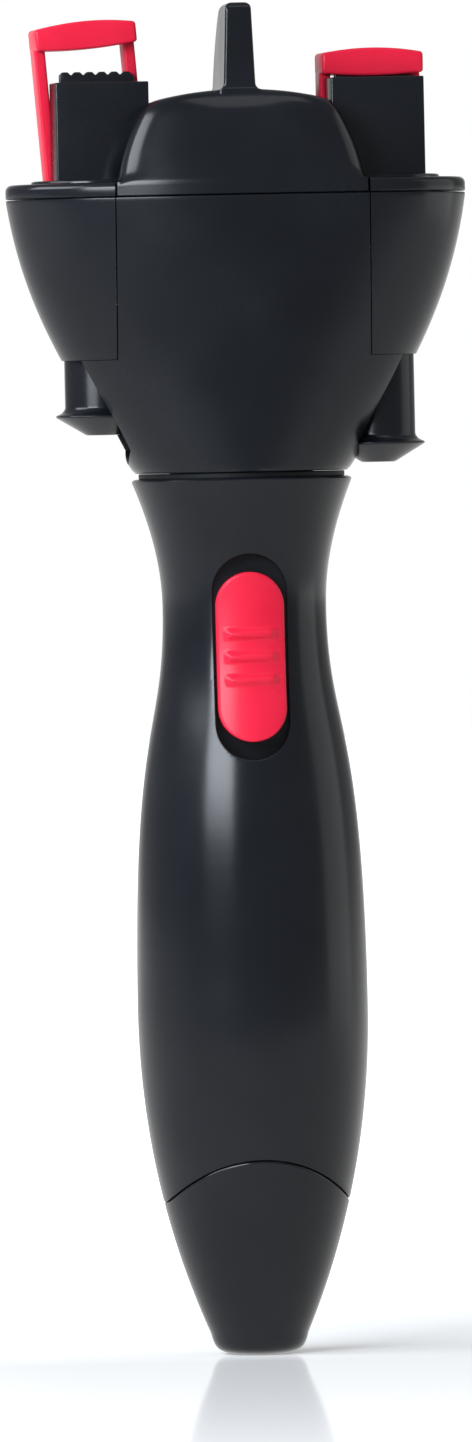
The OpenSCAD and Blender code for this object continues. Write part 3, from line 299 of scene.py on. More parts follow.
def patterned(name, kind, size_mm, low, high, roughness, depth_mm):
    """A covering whose colour and bump come from one pattern of a real size."""
    material, tree, out, place = new_material(name)
    pattern = add(tree, kind, {}, {"Vector": place, "Scale": 1 / (size_mm * MM)})
    value = pattern.outputs["Fac" if "Fac" in pattern.outputs else "Distance"]
    bump = add(tree, "Bump", {}, {"Height": value, "Strength": 0.8, "Distance": depth_mm * MM})
    shader = add(tree, "BsdfPrincipled", {}, {
        "Base Color": ramp(tree, value, [(0.3, linear(low)), (0.7, linear(high))]),
        "Roughness": roughness, "Normal": bump.outputs["Normal"], "IOR": 1.5})
    tree.links.new(shader.outputs["BSDF"], out.inputs["Surface"])
    return material


finishes = {
    "black_gloss_abs": black_abs,
    "red_gloss_abs": red_abs,
    "dark_abs": dark_abs,
    "natural_acetal": acetal,
    "bright_steel": worked_metal("steel_nickel_plated_drawn", "#c3c5c8", 0.28, 0.3),
    "pinion_brass": worked_metal("brass_cut", "#d2a94f", 0.3, 0.3),
    "cell_wrap": patterned("cell_film_shrunk", "TexNoise", 9.0, "#35527c", "#3f5f8c", 0.25, 0.01),
    "board_green": patterned("circuit_board_glass_epoxy", "TexVoronoi", 0.8, "#28603a", "#2f6b40", 0.3, 0.01),
    "clutch_felt": patterned("felt_pressed_wool", "TexNoise", 0.25, "#7a5c40", "#977350", 0.95, 0.08),
}
for part in frame["record"]["subparts"]:
    node = frame["nodes"][part["node"]]
    node.data.materials.clear()
    node.data.materials.append(finishes[part["material_slot"]])
print("finishes on the CAD nodes:", sorted(finishes))

# %% [markdown]
# ## The handle's outline
#
# The grip is a body of revolution: a small domed foot, a long taper out to the belly,
# a waist under the thumb, and a flare to the collar. Four curves of four points each
# give its radius at every height. The same curves shape the shells and the slider.

# %% The grip's radius at a height
def bezier(points, t):
    p = np.array(points, float)
    return (1 - t) ** 3 * p[0] + 3 * t * (1 - t) ** 2 * p[1] + 3 * t * t * (1 - t) * p[2] + t ** 3 * p[3]


FOOT = [[4.5, 0], [7.6, 0.5], [8.2, 1.0], [8.9, 3.9]]
TAPER = [[8.9, 3.9], [16.94, 22.5], [20.9, 42.2], [20.9, 63]]
BELLY = [[20.9, 63], [20.9, 117.4], [14.85, 112.2], [14.85, 136]]
FLARE = [[14.85, 136], [14.85, 144], [17.1, 151.7], [20, 158.7]]
outline = np.array([bezier(c, k / 40) for c in (FOOT, TAPER, BELLY, FLARE) for k in range(41)])


def grip_r(z):
    return float(np.interp(z, outline[:, 1], outline[:, 0]))


ARCH_Z, ARCH_R = 14.1, 21.6


def seam_z(angle, gap):
    """Height at which the arched seam crosses the grip in a direction."""
    z = 33.0
    for _ in range(12):
        x = grip_r(z) * math.cos(angle)
        z = ARCH_Z + math.sqrt(max((ARCH_R + gap) ** 2 - x * x, 1.0))
    return z


print("grip radius at the belly and the waist:", grip_r(63), grip_r(136))

# %% [markdown]
# ## The two handle shells
#
# The handle is moulded as a front and a rear half that meet at the sides. Each half
# is woven as one closed loop of rows, up the outside, over the collar and down the
# inside, and its columns crowd together near the joint, where the edge rounds in. So
# the joint shows as the fine line that a real one is.

# %% Weave a half shell
SWITCH_Z = 126.8
WALL = 2
COLLAR_Z = 159.2
SEAT_R, SEAT_Z = 16.35, 155.0
BORE_R, BORE_Z = 15.0, 152.9
SOCKET_R, SOCKET_Z = 14.7, 40.5
PAD_W, PAD_L, PAD_Y = 15.8, 39.6, -11.6


def stadium_distance(x, z, width, length):
    """How far a point lies outside a stadium that stands on its end."""
    straight = (length - width) / 2
    return math.hypot(x, max(abs(z) - straight, 0)) - width / 2


EDGE_TURNS = [0.0026, 0.006, 0.011, 0.02]
EDGE_DROPS = (0.16, 0.05, 0.01)
half_turn = EDGE_TURNS + [0.02 + (math.pi - 0.04) * k / 100 for k in range(1, 100)]
half_turn += [math.pi - a for a in reversed(EDGE_TURNS)]
WALL_ROWS = 170


def shell_rows(angle):
    """The loop of (radius, height) that a half shell has in one direction: up the
    outside, over the collar, down the seat of the neck bush and the wall, and round
    the socket of the battery cap."""
    low = seam_z(angle, 0.2)
    loop = [(grip_r(low) - 0.3, low), (grip_r(low) - 0.08, low + 0.06), (grip_r(low + 0.3), low + 0.3)]
    for k in range(1, WALL_ROWS + 1):
        z = low + 0.3 + (158.4 - low - 0.3) * k / WALL_ROWS
        loop.append((grip_r(z), z))
    loop += [(19.95, 158.75), (19.75, 158.97), (19.45, 159.12), (19.1, COLLAR_Z), (16.55, COLLAR_Z),
             (SEAT_R, 159.0), (SEAT_R, SEAT_Z), (BORE_R, SEAT_Z), (BORE_R, BORE_Z)]
    for k in range(WALL_ROWS + 1):
        z = BORE_Z + (SOCKET_Z - BORE_Z) * k / WALL_ROWS
        loop.append((grip_r(z) - WALL, z))
    loop += [(SOCKET_R, SOCKET_Z), (SOCKET_R, low)]
    return loop


def half_shell(side):
    """A shell with rounded joint edges. Behind the slider the front one has a pad, which
    leaves a floor under the track."""
    table = [shell_rows(a) for a in half_turn]
    outer = WALL_ROWS + 3

    def place(i, j):
        angle = side * half_turn[i]
        r, z = table[i][j]
        if j <= outer:
            from_joint = min(i, len(half_turn) - 1 - i)
            r -= EDGE_DROPS[from_joint] if from_joint < len(EDGE_DROPS) else 0
        x, y = r * math.cos(angle), r * math.sin(angle)
        if side < 0 and j > outer + 8 and stadium_distance(x, z - SWITCH_Z, PAD_W, PAD_L) < 0:
            y = max(y, PAD_Y)
        return Vector((x, y, z))

    return close_up(woven(len(half_turn) - 1, len(table[0]), place, loop=True))


# %% [markdown]
# The thumb slider sits in a sunk track. The tool that carves it is a stack of rings:
# straight walls up from the floor, and then a lip that follows the curved grip and
# opens out by a third of a millimetre, so the track's rim is rounded all the way.

# %% Carve the slider's track
def stadium_ring(width, length, count):
    """Points and outward directions at even steps round a stadium."""
    straight, r = length - width, width / 2
    around = 2 * straight + math.tau * r
    ring = []
    for k in range(count):
        s = around * k / count
        if s < straight:
            ring.append((r, -straight / 2 + s, 1, 0))
        elif s < straight + math.pi * r:
            a = (s - straight) / r
            ring.append((r * math.cos(a), straight / 2 + r * math.sin(a), math.cos(a), math.sin(a)))
        elif s < 2 * straight + math.pi * r:
            ring.append((-r, straight / 2 - (s - straight - math.pi * r), -1, 0))
        else:
            a = math.pi + (s - 2 * straight - math.pi * r) / r
            ring.append((r * math.cos(a), -straight / 2 + r * math.sin(a), math.cos(a), math.sin(a)))
    return ring


def front_y(x, z, proud=0.0):
    """Where the front of the grip is, at a distance from the middle and a height."""
    return -math.sqrt((grip_r(z) + proud) ** 2 - x * x)


FLOOR_Y = -12.6
TRACK_W, TRACK_L, TRACK_POINTS = 13.4, 37.2, 160
HOOK_X = 4.6
track = stadium_ring(TRACK_W, TRACK_L, TRACK_POINTS)


def track_place(i, j):
    x, z, nx, nz = track[i]
    out = (0, 0, 0.03, 0.12, 0.32, 0.36)[j]
    x, z = x + nx * out, z + nz * out + SWITCH_Z
    surface = front_y(x, z)
    return Vector((x, (FLOOR_Y, surface + 0.36, surface + 0.16, surface + 0.05, surface, surface - 3)[j], z))


front = carve(half_shell(-1), close_up(woven(TRACK_POINTS, 5, track_place, around=True)))
slots = [block(-1.4, 1.4, -13, -11, SWITCH_Z - 4.6, SWITCH_Z + 4.6)]
slots += [block(s * HOOK_X - 0.9, s * HOOK_X + 0.9, -13, -11, SWITCH_Z - 6.9, SWITCH_Z + 6.9) for s in sides]
front = carve(front, merge(*slots))
keep(front, "front_shell", "handle", "black_gloss_abs", ["front_handle_shell"])

# %% The rear shell has two screw holes
SCREW_X, SCREW_Z = 13.3, 101.8
HOLE_R = 2.3


def rod(x, z, r, y0, y1):
    """A round rod along the depth of the tool."""
    return lay_back(cylinder(r, y0, y1, 40), x, z)


rear = carve(half_shell(1), merge(*[rod(s * SCREW_X, SCREW_Z, HOLE_R, 6, 30) for s in sides]))
keep(rear, "rear_shell", "handle", "black_gloss_abs", ["rear_handle_shell"])

# %% [markdown]
# ## The battery cap
#
# The cap is the pointed end of the handle up to an arched seam, with a plug that goes
# into the shells. It is woven once round. Its rows end on the arch, so the seam has a
# clean rounded lip that catches the light, as in the photograph.

# %% Weave the cap
PLUG_R, PLUG_Z = 14.4, 40
HOLLOW_R = 12.8


def cap_rows(angle):
    """The loop of (radius, height) that the cap has in one direction: from the middle of
    the foot up the outside and the plug, and down the hollow for the cells."""
    top = seam_z(angle, 0)
    loop = [(0, 0), (2.5, 0), (4.5, 0)] + [tuple(bezier(FOOT, k / 10)) for k in range(1, 10)]
    for k in range(71):
        z = 3.9 + (top - 0.4 - 3.9) * k / 70
        loop.append((grip_r(z), z))
    loop += [(grip_r(top - 0.2) - 0.04, top - 0.2), (grip_r(top) - 0.16, top - 0.05),
             (grip_r(top) - 0.4, top)]
    loop += [(PLUG_R, top), (PLUG_R, 39.7), (14.1, PLUG_Z), (1.6, PLUG_Z), (1.6, 38.4),
             (HOLLOW_R, 38.4), (HOLLOW_R, 24)]
    for k in range(12):
        z = 21 + (3.2 - 21) * k / 11
        loop.append((min(grip_r(z) - WALL, HOLLOW_R), z))
    return loop + [(grip_r(3.2) - 2.2, 2.2), (0, 2.2)]


CAP_COLUMNS = 192
cap_table = [cap_rows(math.tau * i / CAP_COLUMNS) for i in range(CAP_COLUMNS)]


def cap_place(i, j):
    r, z = cap_table[i][j]
    angle = math.tau * i / CAP_COLUMNS
    return Vector((r * math.cos(angle), r * math.sin(angle), z))


cap = close_up(woven(CAP_COLUMNS, len(cap_table[0]) - 1, cap_place, around=True))
keep(cap, "battery_cap_skin", "battery_cap", "black_gloss_abs", ["battery_cap"])

# %% [markdown]
# ## The thumb slider
#
# The slider is a red stadium that follows the curve of the grip and stands a little
# proud of it, with three ribs across its middle for the thumb. Its face is a grid that
# is drawn in to the round ends, its edge rolls over, and its rim is drawn down. Two
# hooks hold it in the shell, and a notch between them takes the switch lever.

# %% Weave the slider
PROUD = 1.1
RIB_PITCH, RIB_HALF, RIB_RISE, RIB_REACH = 4.15, 1.35, 0.85, 5.2
SLIDER_W, SLIDER_L = 12.4, 30.7
ROLL = 0.5
ACROSS, ALONG = 100, 400


def swell(distance, reach):
    """Falls softly from one to nought at a distance."""
    return math.cos(math.pi / 2 * min(distance / reach, 1)) ** 2


def slider_place(i, j):
    z = SLIDER_L / 2 * math.sin(math.pi / 2 * (j / (ALONG / 2) - 1))
    bend = max(abs(z) - (SLIDER_L - SLIDER_W) / 2, 0)
    x = math.sqrt(max((SLIDER_W / 2) ** 2 - bend ** 2, 0)) * math.sin(math.pi / 2 * (i / (ACROSS / 2) - 1))
    inside = min(max(SLIDER_W / 2 - math.hypot(x, bend), 0) / ROLL, 1)
    drop = ROLL * (1 - math.sqrt(1 - (1 - inside) ** 2))
    rib = max(swell(abs(z - k * RIB_PITCH), RIB_HALF) for k in (-1, 0, 1))
    rise = RIB_RISE * rib * swell(max(abs(x) - RIB_REACH + 1.6, 0), 1.6)
    return Vector((x, front_y(x, z + SWITCH_Z, PROUD) + drop - rise, z + SWITCH_Z))


slider = woven(ACROSS, ALONG, slider_place)
rim = [e for e in slider.edges if e.is_boundary]
drawn = bmesh.ops.extrude_edge_only(slider, edges=rim)["geom"]
for v in drawn:
    if isinstance(v, bmesh.types.BMVert):
        v.co.y = -12.8
slider = close_up(slider)
hook_z = (SWITCH_Z - 3.5, SWITCH_Z + 3.5)
stalks = merge(*[block(s * HOOK_X - 0.6, s * HOOK_X + 0.6, -13.3, -11.1, *hook_z) for s in sides])
barbs = merge(*[block(min(s * 4, s * 5.6), max(s * 4, s * 5.6), -11.4, -10.6, *hook_z) for s in sides])
slider = carve(slider, carve(stalks, barbs, "UNION"), "UNION")
slider = carve(slider, block(-1.1, 1.1, -14.7, -12.7, SWITCH_Z - 1.3, SWITCH_Z + 1.3))
keep(slider, "thumb_slider_cap", "thumb_slider", "red_gloss_abs", ["slider_button"])

# %% [markdown]
# ## The neck bush
#
# Between the collar and the head the photograph shows a dark closed band. It is the
# flange of the bush that the neck turns in, just clear of the head.

# %% Turn the bush
bush = spun([(13.05, SEAT_Z), (16.2, SEAT_Z), (16.2, COLLAR_Z), (18.6, COLLAR_Z), (18.7, 159.3),
             (18.7, 160.0), (18.6, 160.13), (13.05, 160.13), (13.05, SEAT_Z)], 128)
keep(bush, "neck_bush_skin", "handle", "dark_abs", ["neck_bush"])

# %% [markdown]
# ## The funnel head
#
# The head widens from the round neck to a long oval. It is moulded as a front and a
# rear funnel, with a separate ear on each side over the push buttons. One hollow form
# is woven and carved, and the four mouldings are cut from it, so their faces line up.

# %% The oval of the head at a height
HEAD = [[19.4, 160.2], [29.4, 175.3], [38.9, 189.2], [41.8, 210.2]]
head_line = np.array([bezier(HEAD, k / 80) for k in range(81)])
CLIP_X = 25.0
EAR_Z, EAR_X = 181.0, 23.0
ALCOVE_R = 8.8
NECK_Z, RIM_W, RIM_D, HEAD_TOP = 160.2, 41.8, 23.0, 210.2
NECK_R = 19.4
SKIN = 1.8


def head_w(z):
    return float(np.interp(z, head_line[:, 1], head_line[:, 0]))


def head_d(z):
    return NECK_R + (RIM_D - NECK_R) * (min(z, HEAD_TOP) - NECK_Z) / (HEAD_TOP - NECK_Z)


def oval_stack(levels, columns=256):
    """A closed solid through ovals of (half width, half depth, height)."""
    def place(i, j):
        a, (w, d, z) = math.tau * i / columns, levels[j]
        return Vector((w * math.cos(a), d * math.sin(a), z))
    return close_up(woven(columns, len(levels) - 1, place, around=True))


skin = [(19.0, 19.0, NECK_Z), (19.22, 19.22, 160.25), (NECK_R, NECK_R, 160.45)]
skin += [(head_w(z), head_d(z), z) for z in np.linspace(160.9, 209.9, 90)]
skin += [(41.76, 22.96, 210.1), (41.62, 22.84, HEAD_TOP)]
hollow = [(15.5, 15.5, 161.5), (15.5, 15.5, 164.4)]
hollow += [(head_w(z) - SKIN, head_d(z) - SKIN, z) for z in np.linspace(164.7, HEAD_TOP, 60)]
hollow += [(40.0, 21.2, 212)]


def alcove(side, grow):
    """The space that a push button moves and turns in: a round-backed slot open to the
    side, whose floor is hollowed to hold the sloped foot."""
    levels = [(3.2 + grow, 161.2 - grow), (ALCOVE_R + grow, 164.5 - grow), (ALCOVE_R + grow, EAR_Z + grow)]
    back = 48

    def place(i, j):
        r, z = levels[j]
        if i <= back:
            a = math.pi / 2 + math.pi * i / back
            x, y = r * math.cos(a), r * math.sin(a)
        else:
            x, y = 30, (-r, 0, r)[i - back - 1]
        return Vector((side * (CLIP_X + x), y, z))

    return close_up(woven(back + 4, 2, place, around=True))


head_screws = [(s * x, z) for s in sides for x, z in ((8.6, 177), (8.4, 205.6))]
inside = carve(oval_stack(hollow, 192), merge(*[alcove(s, 1.5) for s in sides]))
inside = carve(inside, merge(*[rod(x, z, 2.7, -40, 40) for x, z in head_screws]))
head = carve(oval_stack(skin), inside)
head = carve(head, merge(*[alcove(s, 0) for s in sides]))
holes = [cylinder(7.25, EAR_Z - 1, EAR_Z + 6, 64, (s * CLIP_X, 0)) for s in sides]
holes += [cylinder(13.1, 150, 162, 96)]
holes += [rod(x, z, HOLE_R, 9, 40) for x, z in head_screws]
head = carve(head, merge(*holes))
print("hollow head:", len(head.faces), "faces")


# %% Cut the four mouldings from it
FAR, LOW, TOP = 60, 150, 220
SEAM = 0.1


def moulding(name, region, node, without=None):
    """A part of the head, shown in place of one node. FAR, LOW and TOP lie past it."""
    part = carve(head.copy(), region, "INTERSECT")
    if without is not None:
        part = carve(part, without)
    keep(part, name, "head", "black_gloss_abs", [node])


def ear_space():
    left = block(-FAR, -EAR_X + SEAM, -FAR, FAR, EAR_Z - SEAM, TOP)
    return merge(left, block(EAR_X - SEAM, FAR, -FAR, FAR, EAR_Z - SEAM, TOP))


moulding("funnel_front_skin", block(-FAR, FAR, -FAR, -SEAM / 2, LOW, TOP), "funnel_front", ear_space())
moulding("funnel_rear_skin", block(-FAR, FAR, SEAM / 2, FAR, LOW, TOP), "funnel_rear", ear_space())
moulding("ear_left_skin", block(-FAR, -EAR_X - SEAM, -FAR, FAR, EAR_Z, TOP), "ear_left")
moulding("ear_right_skin", block(EAR_X + SEAM, FAR, -FAR, FAR, EAR_Z, TOP), "ear_right")

# %% [markdown]
# ## The dome and its fin
#
# The dome closes the head between the clips. Its front and back carry on from the
# oval below, its flanks slope in, and each side is hollowed round a clip, which needs
# that room to turn. The outline is worked out level by level, spaced evenly and then
# smoothed a few times, which rounds the corners as a moulding's are.

# %% Level outlines of the dome
RIM_Z, RIM_TOP = 210.4, 213.0
BAY_R = 12.6
HALF_POINTS = 112


def dome_w(z):
    """Half the dome's width at a height: upright at the rim, then sloping in."""
    if z <= RIM_TOP:
        return 22.9
    t = min((z - RIM_TOP) / (227.6 - RIM_TOP), 1)
    return 22.4 - 5.5 * t + 3.2 * t * (1 - t)


def dome_outline(z, rounds):
    """Even points round the dome at one height, from the middle of its front."""
    taper = 4.5 * max(z - RIM_TOP, 0) / (229.4 - RIM_TOP)
    a, b, w = RIM_W - taper, RIM_D - taper, dome_w(z)
    right = [(x, -b * math.sqrt(1 - (x / a) ** 2)) for x in np.linspace(0, w, 60)]
    turn = math.asin(min((CLIP_X - w) / BAY_R, 1))
    span = math.pi / 2 - turn
    right += [(CLIP_X - BAY_R * math.cos(t), BAY_R * math.sin(t)) for t in np.linspace(-span, span, 80)]
    right += [(x, -y) for x, y in reversed(right[:60])]
    p = np.array(right)
    run = np.concatenate([[0], np.cumsum(np.hypot(*np.diff(p, axis=0).T))])
    even = np.linspace(0, run[-1], HALF_POINTS + 1)
    side = np.stack([np.interp(even, run, p[:, k]) for k in (0, 1)], axis=1)
    ring = np.concatenate([side, side[-2:0:-1] * (-1, 1)])
    for _ in range(rounds):
        ring = (np.roll(ring, 1, 0) + 2 * ring + np.roll(ring, -1, 0)) / 4
    return ring * (w / ring[:, 0].max(), 1)


def dome_top(x, y):
    """Height of the dome's top: a low crown, rounded down at the sides and the ends."""
    x, y = abs(x), abs(y)
    crown = 227.6 + 1.8 * (1 - (x / 15.3) ** 2)
    if x >= 15.3:
        crown = 226 + math.sqrt(max(2.56 - (x - 15.3) ** 2, 0))
    edge = 229.8 if y < 15.5 else 226.8 + math.sqrt(max(9 - (y - 15.5) ** 2, 0))
    return min(crown, edge)


# %% Weave the dome
WALL_TOP = 226.0
levels = [RIM_Z, 210.55, 211.3, 212.2, 212.9] + list(np.linspace(213.2, WALL_TOP, 27))
rounding = [0 if z < RIM_TOP else round(min(3 + 12 * (z - RIM_TOP), 50)) for z in levels]
outlines = [dome_outline(z, rounds) for z, rounds in zip(levels, rounding)]
outlines = [o * 0.993 if k == 0 else o for k, o in enumerate(outlines)]
shrink = [1 - k / 30 for k in range(1, 31)]
dome_rows = []
for z, ring in zip(levels, outlines):
    dome_rows.append([(x, y, z) for x, y in ring])
top_ring = outlines[-1]
for s in shrink:
    dome_rows.append([(s * x, s * y, dome_top(s * x, s * y)) for x, y in top_ring])
for s in reversed(shrink):
    dome_rows.append([(0.88 * s * x, 0.88 * s * y, dome_top(s * x, s * y) - 2) for x, y in top_ring])
for z, ring in zip(levels[::-1], outlines[::-1]):
    dome_rows.append([(0.88 * x, 0.9 * y, z - (2 if z > 224 else 0)) for x, y in ring])

dome = close_up(woven(2 * HALF_POINTS, len(dome_rows), lambda i, j: Vector(dome_rows[j][i]),
                      around=True, loop=True))
upper = [v for v in dome.verts if v.co.z > 214]
for _ in range(8):
    bmesh.ops.smooth_vert(dome, verts=upper, factor=0.5, use_axis_x=True, use_axis_y=True, use_axis_z=True)

# %% [markdown]
# The fin parts the two strands of hair. It stands upright at the front, and its top
# rounds down to the back. It is a stack of rounded bars, a little thicker at the root,
# where a small fillet runs out into the dome.

# %% Weave the fin and join it to the dome
FIN_BACK = [[13.5, 229.4], [11.5, 238], [3, 244], [-2.5, 245]]
fin_back = np.array([bezier(FIN_BACK, k / 60) for k in range(61)])


def rounded_bar(x, y0, y1, r, count=12):
    """A rounded rectangle, as points from its front left corner onwards."""
    corners = [(-x + r, y0 + r, math.pi), (x - r, y0 + r, 1.5 * math.pi), (x - r, y1 - r, 0),
               (-x + r, y1 - r, math.pi / 2)]
    turns = [math.pi / 2 * k / count for k in range(count + 1)]
    return [(cx + r * math.cos(a + t), cy + r * math.sin(a + t)) for cx, cy, a in corners for t in turns]


def fillet(past, r):
    """How far a round of radius r has turned in, past the point where it starts."""
    return r * (1 - math.sqrt(max(1 - (max(past, 0) / r) ** 2, 0)))


FIN_FRONT, FIN_ROOT, FIN_TOP = -17, 229.4, 245.0
fin_levels = [226.6, 229.0, 229.2, 229.35, 229.5, 229.7, 229.95, 230.2, 230.5]
fin_levels += list(np.linspace(231.2, 243.2, 22))
fin_levels += [243.6, 243.9, 244.2, 244.45, 244.65, 244.8, 244.92, 244.98, FIN_TOP]
fin_rows = []
for z in fin_levels:
    thick = 2.9 - 0.6 * (z - FIN_ROOT) / 15.6
    flare, round_in, lean_in = fillet(230.4 - z, 1.2), fillet(z - 243.9, 1.1), fillet(z - 243.5, 1.5)
    back = float(np.interp(z, fin_back[:, 1], fin_back[:, 0])) if z > FIN_ROOT else 13.5
    row = rounded_bar(thick + flare - round_in, FIN_FRONT - 0.5 * flare + lean_in, back + flare,
                      min(0.5 + 0.4 * flare, thick - round_in - 0.1))
    fin_rows.append([(x, y, z) for x, y in row])
fin = close_up(woven(len(fin_rows[0]), len(fin_rows) - 1, lambda i, j: Vector(fin_rows[j][i]), around=True))
dome = carve(dome, fin, "UNION")
keep(dome, "dome_skin", "head", "black_gloss_abs", ["dome_cover"])

# %% [markdown]
# ## The wing covers and turntables
#
# A thin oval rim runs round the top of the head. Left and right of the dome it is a
# flat cover with a round hole, and in the hole turns the table that carries a clip.

# %% Wing covers
def rim_arc(k):
    """The rim's rounded top: how far in and up its k-th point of eight lies."""
    a = math.pi / 2 * k / 8
    return 1.15 * (1 - math.cos(a)), 1.15 * math.sin(a)


WING_X = 23.1
rim = [(41.62, 22.84, RIM_Z), (41.76, 22.96, 210.5), (RIM_W, RIM_D, 210.7)]
rim += [(RIM_W - rim_arc(k)[0], RIM_D - rim_arc(k)[0], 211.85 + rim_arc(k)[1]) for k in range(9)]
for side, name in ((-1, "left"), (1, "right")):
    cover = oval_stack(rim)
    rest = (-FAR, WING_X) if side > 0 else (-WING_X, FAR)
    cover = carve(cover, block(*rest, -FAR, FAR, 200, TOP))
    hole = [(0, 200), (12.4, 200), (12.4, 212.8), (12.6, 213.0), (12.7, 213.2), (12.7, 220), (0, 220)]
    cover = carve(cover, spun(hole, 128, (side * CLIP_X, 0)))
    keep(cover, f"wing_cover_{name}_skin", "head", "black_gloss_abs", [f"wing_cover_{name}"])

# %% Turntables with slots for the legs of a clip
FRAME_W, LEG_W, FRAME_BACK, LEG_FRONT = 9.3, 2.1, 5.6, 0.6
BLOCK_W = 8.5
CLIP_TURN = math.radians(5.5)
LEAN = math.radians(4.4)
TABLE_TOP = 213.6
OPEN = 5.9
LEAN_Z = TABLE_TOP - OPEN


def to_clip(bm, side, lift=0.0):
    """Turns and moves a shape from the middle to where its clip stands."""
    bmesh.ops.rotate(bm, cent=(0, 0, 0), matrix=Matrix.Rotation(CLIP_TURN, 3, "Z"), verts=bm.verts)
    bmesh.ops.translate(bm, vec=(side * CLIP_X, 0, lift), verts=bm.verts)
    return bm


LEG_GAP = 0.3
slot_w = LEG_W / 2 + LEG_GAP + OPEN * math.sin(LEAN)
slot_x = FRAME_W - LEG_W / 2
for side, name in ((-1, "left"), (1, "right")):
    disc = spun([(0, HEAD_TOP), (12.1, HEAD_TOP), (12.1, 213.2), (12.04, 213.42), (11.88, 213.55),
                 (11.65, TABLE_TOP), (0, TABLE_TOP)], 128)
    slots = [block(s * slot_x - slot_w, s * slot_x + slot_w, LEG_FRONT - LEG_GAP, FRAME_BACK + LEG_GAP,
                   200, TOP) for s in sides]
    disc = carve(disc, merge(*slots))
    keep(to_clip(disc, side), f"turntable_{name}_skin", f"clip_{name}", "black_gloss_abs",
         [f"turntable_{name}"])

# %% [markdown]
# ## The clips
#
# Each clip is a black block with a comb plate, and a red frame whose bar shuts down on
# it. The bar's top is a little crowned and its lower edge sags to the middle. The left
# frame stands open and leans with the play it has. Edges are bevelled in three steps.

# %% Blocks with their combs
def slab(points, y0, y1):
    """An upright outline of (x, z) points, made as deep as from y0 to y1."""
    bm = bmesh.new()
    face = bm.faces.new([bm.verts.new((x, y0, z)) for x, z in points])
    grown = bmesh.ops.extrude_face_region(bm, geom=[face])["geom"]
    far_side = [v for v in grown if isinstance(v, bmesh.types.BMVert)]
    bmesh.ops.translate(bm, vec=(0, y1 - y0, 0), verts=far_side)
    bmesh.ops.recalc_face_normals(bm, faces=bm.faces)
    return bm


BLOCK_TOP = 231.3
COMB_TOP = BLOCK_TOP + 2.0
COMB_W, TEETH = 6.75, 6
GULLET_Z = COMB_TOP - 0.55
core_w = FRAME_W - LEG_W - (BLOCK_TOP - LEAN_Z) * math.sin(LEAN) - LEG_GAP
step = 2 * COMB_W / TEETH
teeth = [(-COMB_W, BLOCK_TOP - 2)]
for k in range(TEETH):
    teeth += [(-COMB_W + k * step, GULLET_Z), (-COMB_W + (k + 0.25) * step, COMB_TOP),
              (-COMB_W + (k + 0.65) * step, COMB_TOP), (-COMB_W + (k + 0.9) * step, GULLET_Z)]
teeth += [(COMB_W, GULLET_Z), (COMB_W, BLOCK_TOP - 2)]


def off_table(edge):
    """True for every edge of a block except those that lie on its turntable."""
    z = [v.co.z for v in edge.verts]
    return min(z) > TABLE_TOP + 0.1 or z[0] != z[1]


for side, name in ((-1, "left"), (1, "right")):
    holder = carve(block(-BLOCK_W, BLOCK_W, -7.5, 0.2, TABLE_TOP, BLOCK_TOP),
                   block(-core_w, core_w, 0, FRAME_BACK - 0.2, TABLE_TOP, BLOCK_TOP), "UNION")
    holder = soften(holder, 0.5, where=off_table)
    comb = soften(slab(teeth, -1.3, 0.19), 0.12, 20, 2)
    keep(to_clip(carve(holder, comb, "UNION"), side), f"clip_block_{name}_skin", f"clip_{name}",
         "black_gloss_abs", [f"clip_block_{name}"])

# %% Red frames
BAR_Z, BAR_H, CROWN, SAG = 231.6, 5.1, 0.9, 0.5
BRIDGE_Z = 202.1
bar = [(FRAME_W * x, BAR_Z + BAR_H - CROWN * x * x) for x in np.linspace(1, -1, 25)]
bar += [(FRAME_W * x, BAR_Z + SAG * x * x) for x in np.linspace(-1, 1, 25)]


def leaned(p, lean):
    """A point (x, z) of a frame after it has leaned about the turntable."""
    h = p[1] - LEAN_Z
    return p[0] * math.cos(lean) + h * math.sin(lean), LEAN_Z - p[0] * math.sin(lean) + h * math.cos(lean)


def leg(side, lean):
    """The outline of one leg: upright in the turntable, and leaned above it."""
    xi, xo, bend = side * (FRAME_W - LEG_W), side * (FRAME_W - 0.05), math.tan(lean / 2)
    top = BAR_Z + SAG + 1
    return [(xo, BRIDGE_Z + 1), (xo, LEAN_Z - xo * bend), leaned((xo, top), lean), leaned((xi, top), lean),
            (xi, LEAN_Z - xi * bend), (xi, BRIDGE_Z + 1)]


for side, name, lean, lift in ((-1, "left", -LEAN, OPEN), (1, "right", 0.0, 0.0)):
    bridge = carve(cylinder(11.45, BRIDGE_Z, BRIDGE_Z + 2, 96),
                   block(-FRAME_W, FRAME_W, -6, FRAME_BACK, BRIDGE_Z - 1, BRIDGE_Z + 3), "INTERSECT")
    bridge = carve(bridge, cylinder(3.02, 190, TOP, 48))
    arms = [soften(slab(leg(s, lean), LEG_FRONT, FRAME_BACK - 0.05), 0.4, 30) for s in sides]
    crossbar = soften(slab([leaned(p, lean) for p in bar], -3, FRAME_BACK), 0.55, 50, 4)
    pocket = block(1 - FRAME_W, FRAME_W - 1, -1.6, 0.5, BAR_Z - 2, COMB_TOP + 0.3)
    bmesh.ops.rotate(pocket, cent=(0, 0, LEAN_Z), matrix=Matrix.Rotation(lean, 3, "Y"), verts=pocket.verts)
    red = carve(merge(*arms), bridge, "UNION")
    red = carve(red, crossbar, "UNION")
    red = carve(red, pocket)
    keep(to_clip(red, side, lift), f"clip_frame_{name}_skin", f"frame_{name}", "red_gloss_abs",
         [f"clip_frame_{name}"])

# %% [markdown]
# ## The push buttons
#
# Under each ear a round stem ends in a wide foot with a sloped underside, which a
# finger pushes up to open its clip. It is turned once round, with every corner of its
# profile rounded first.

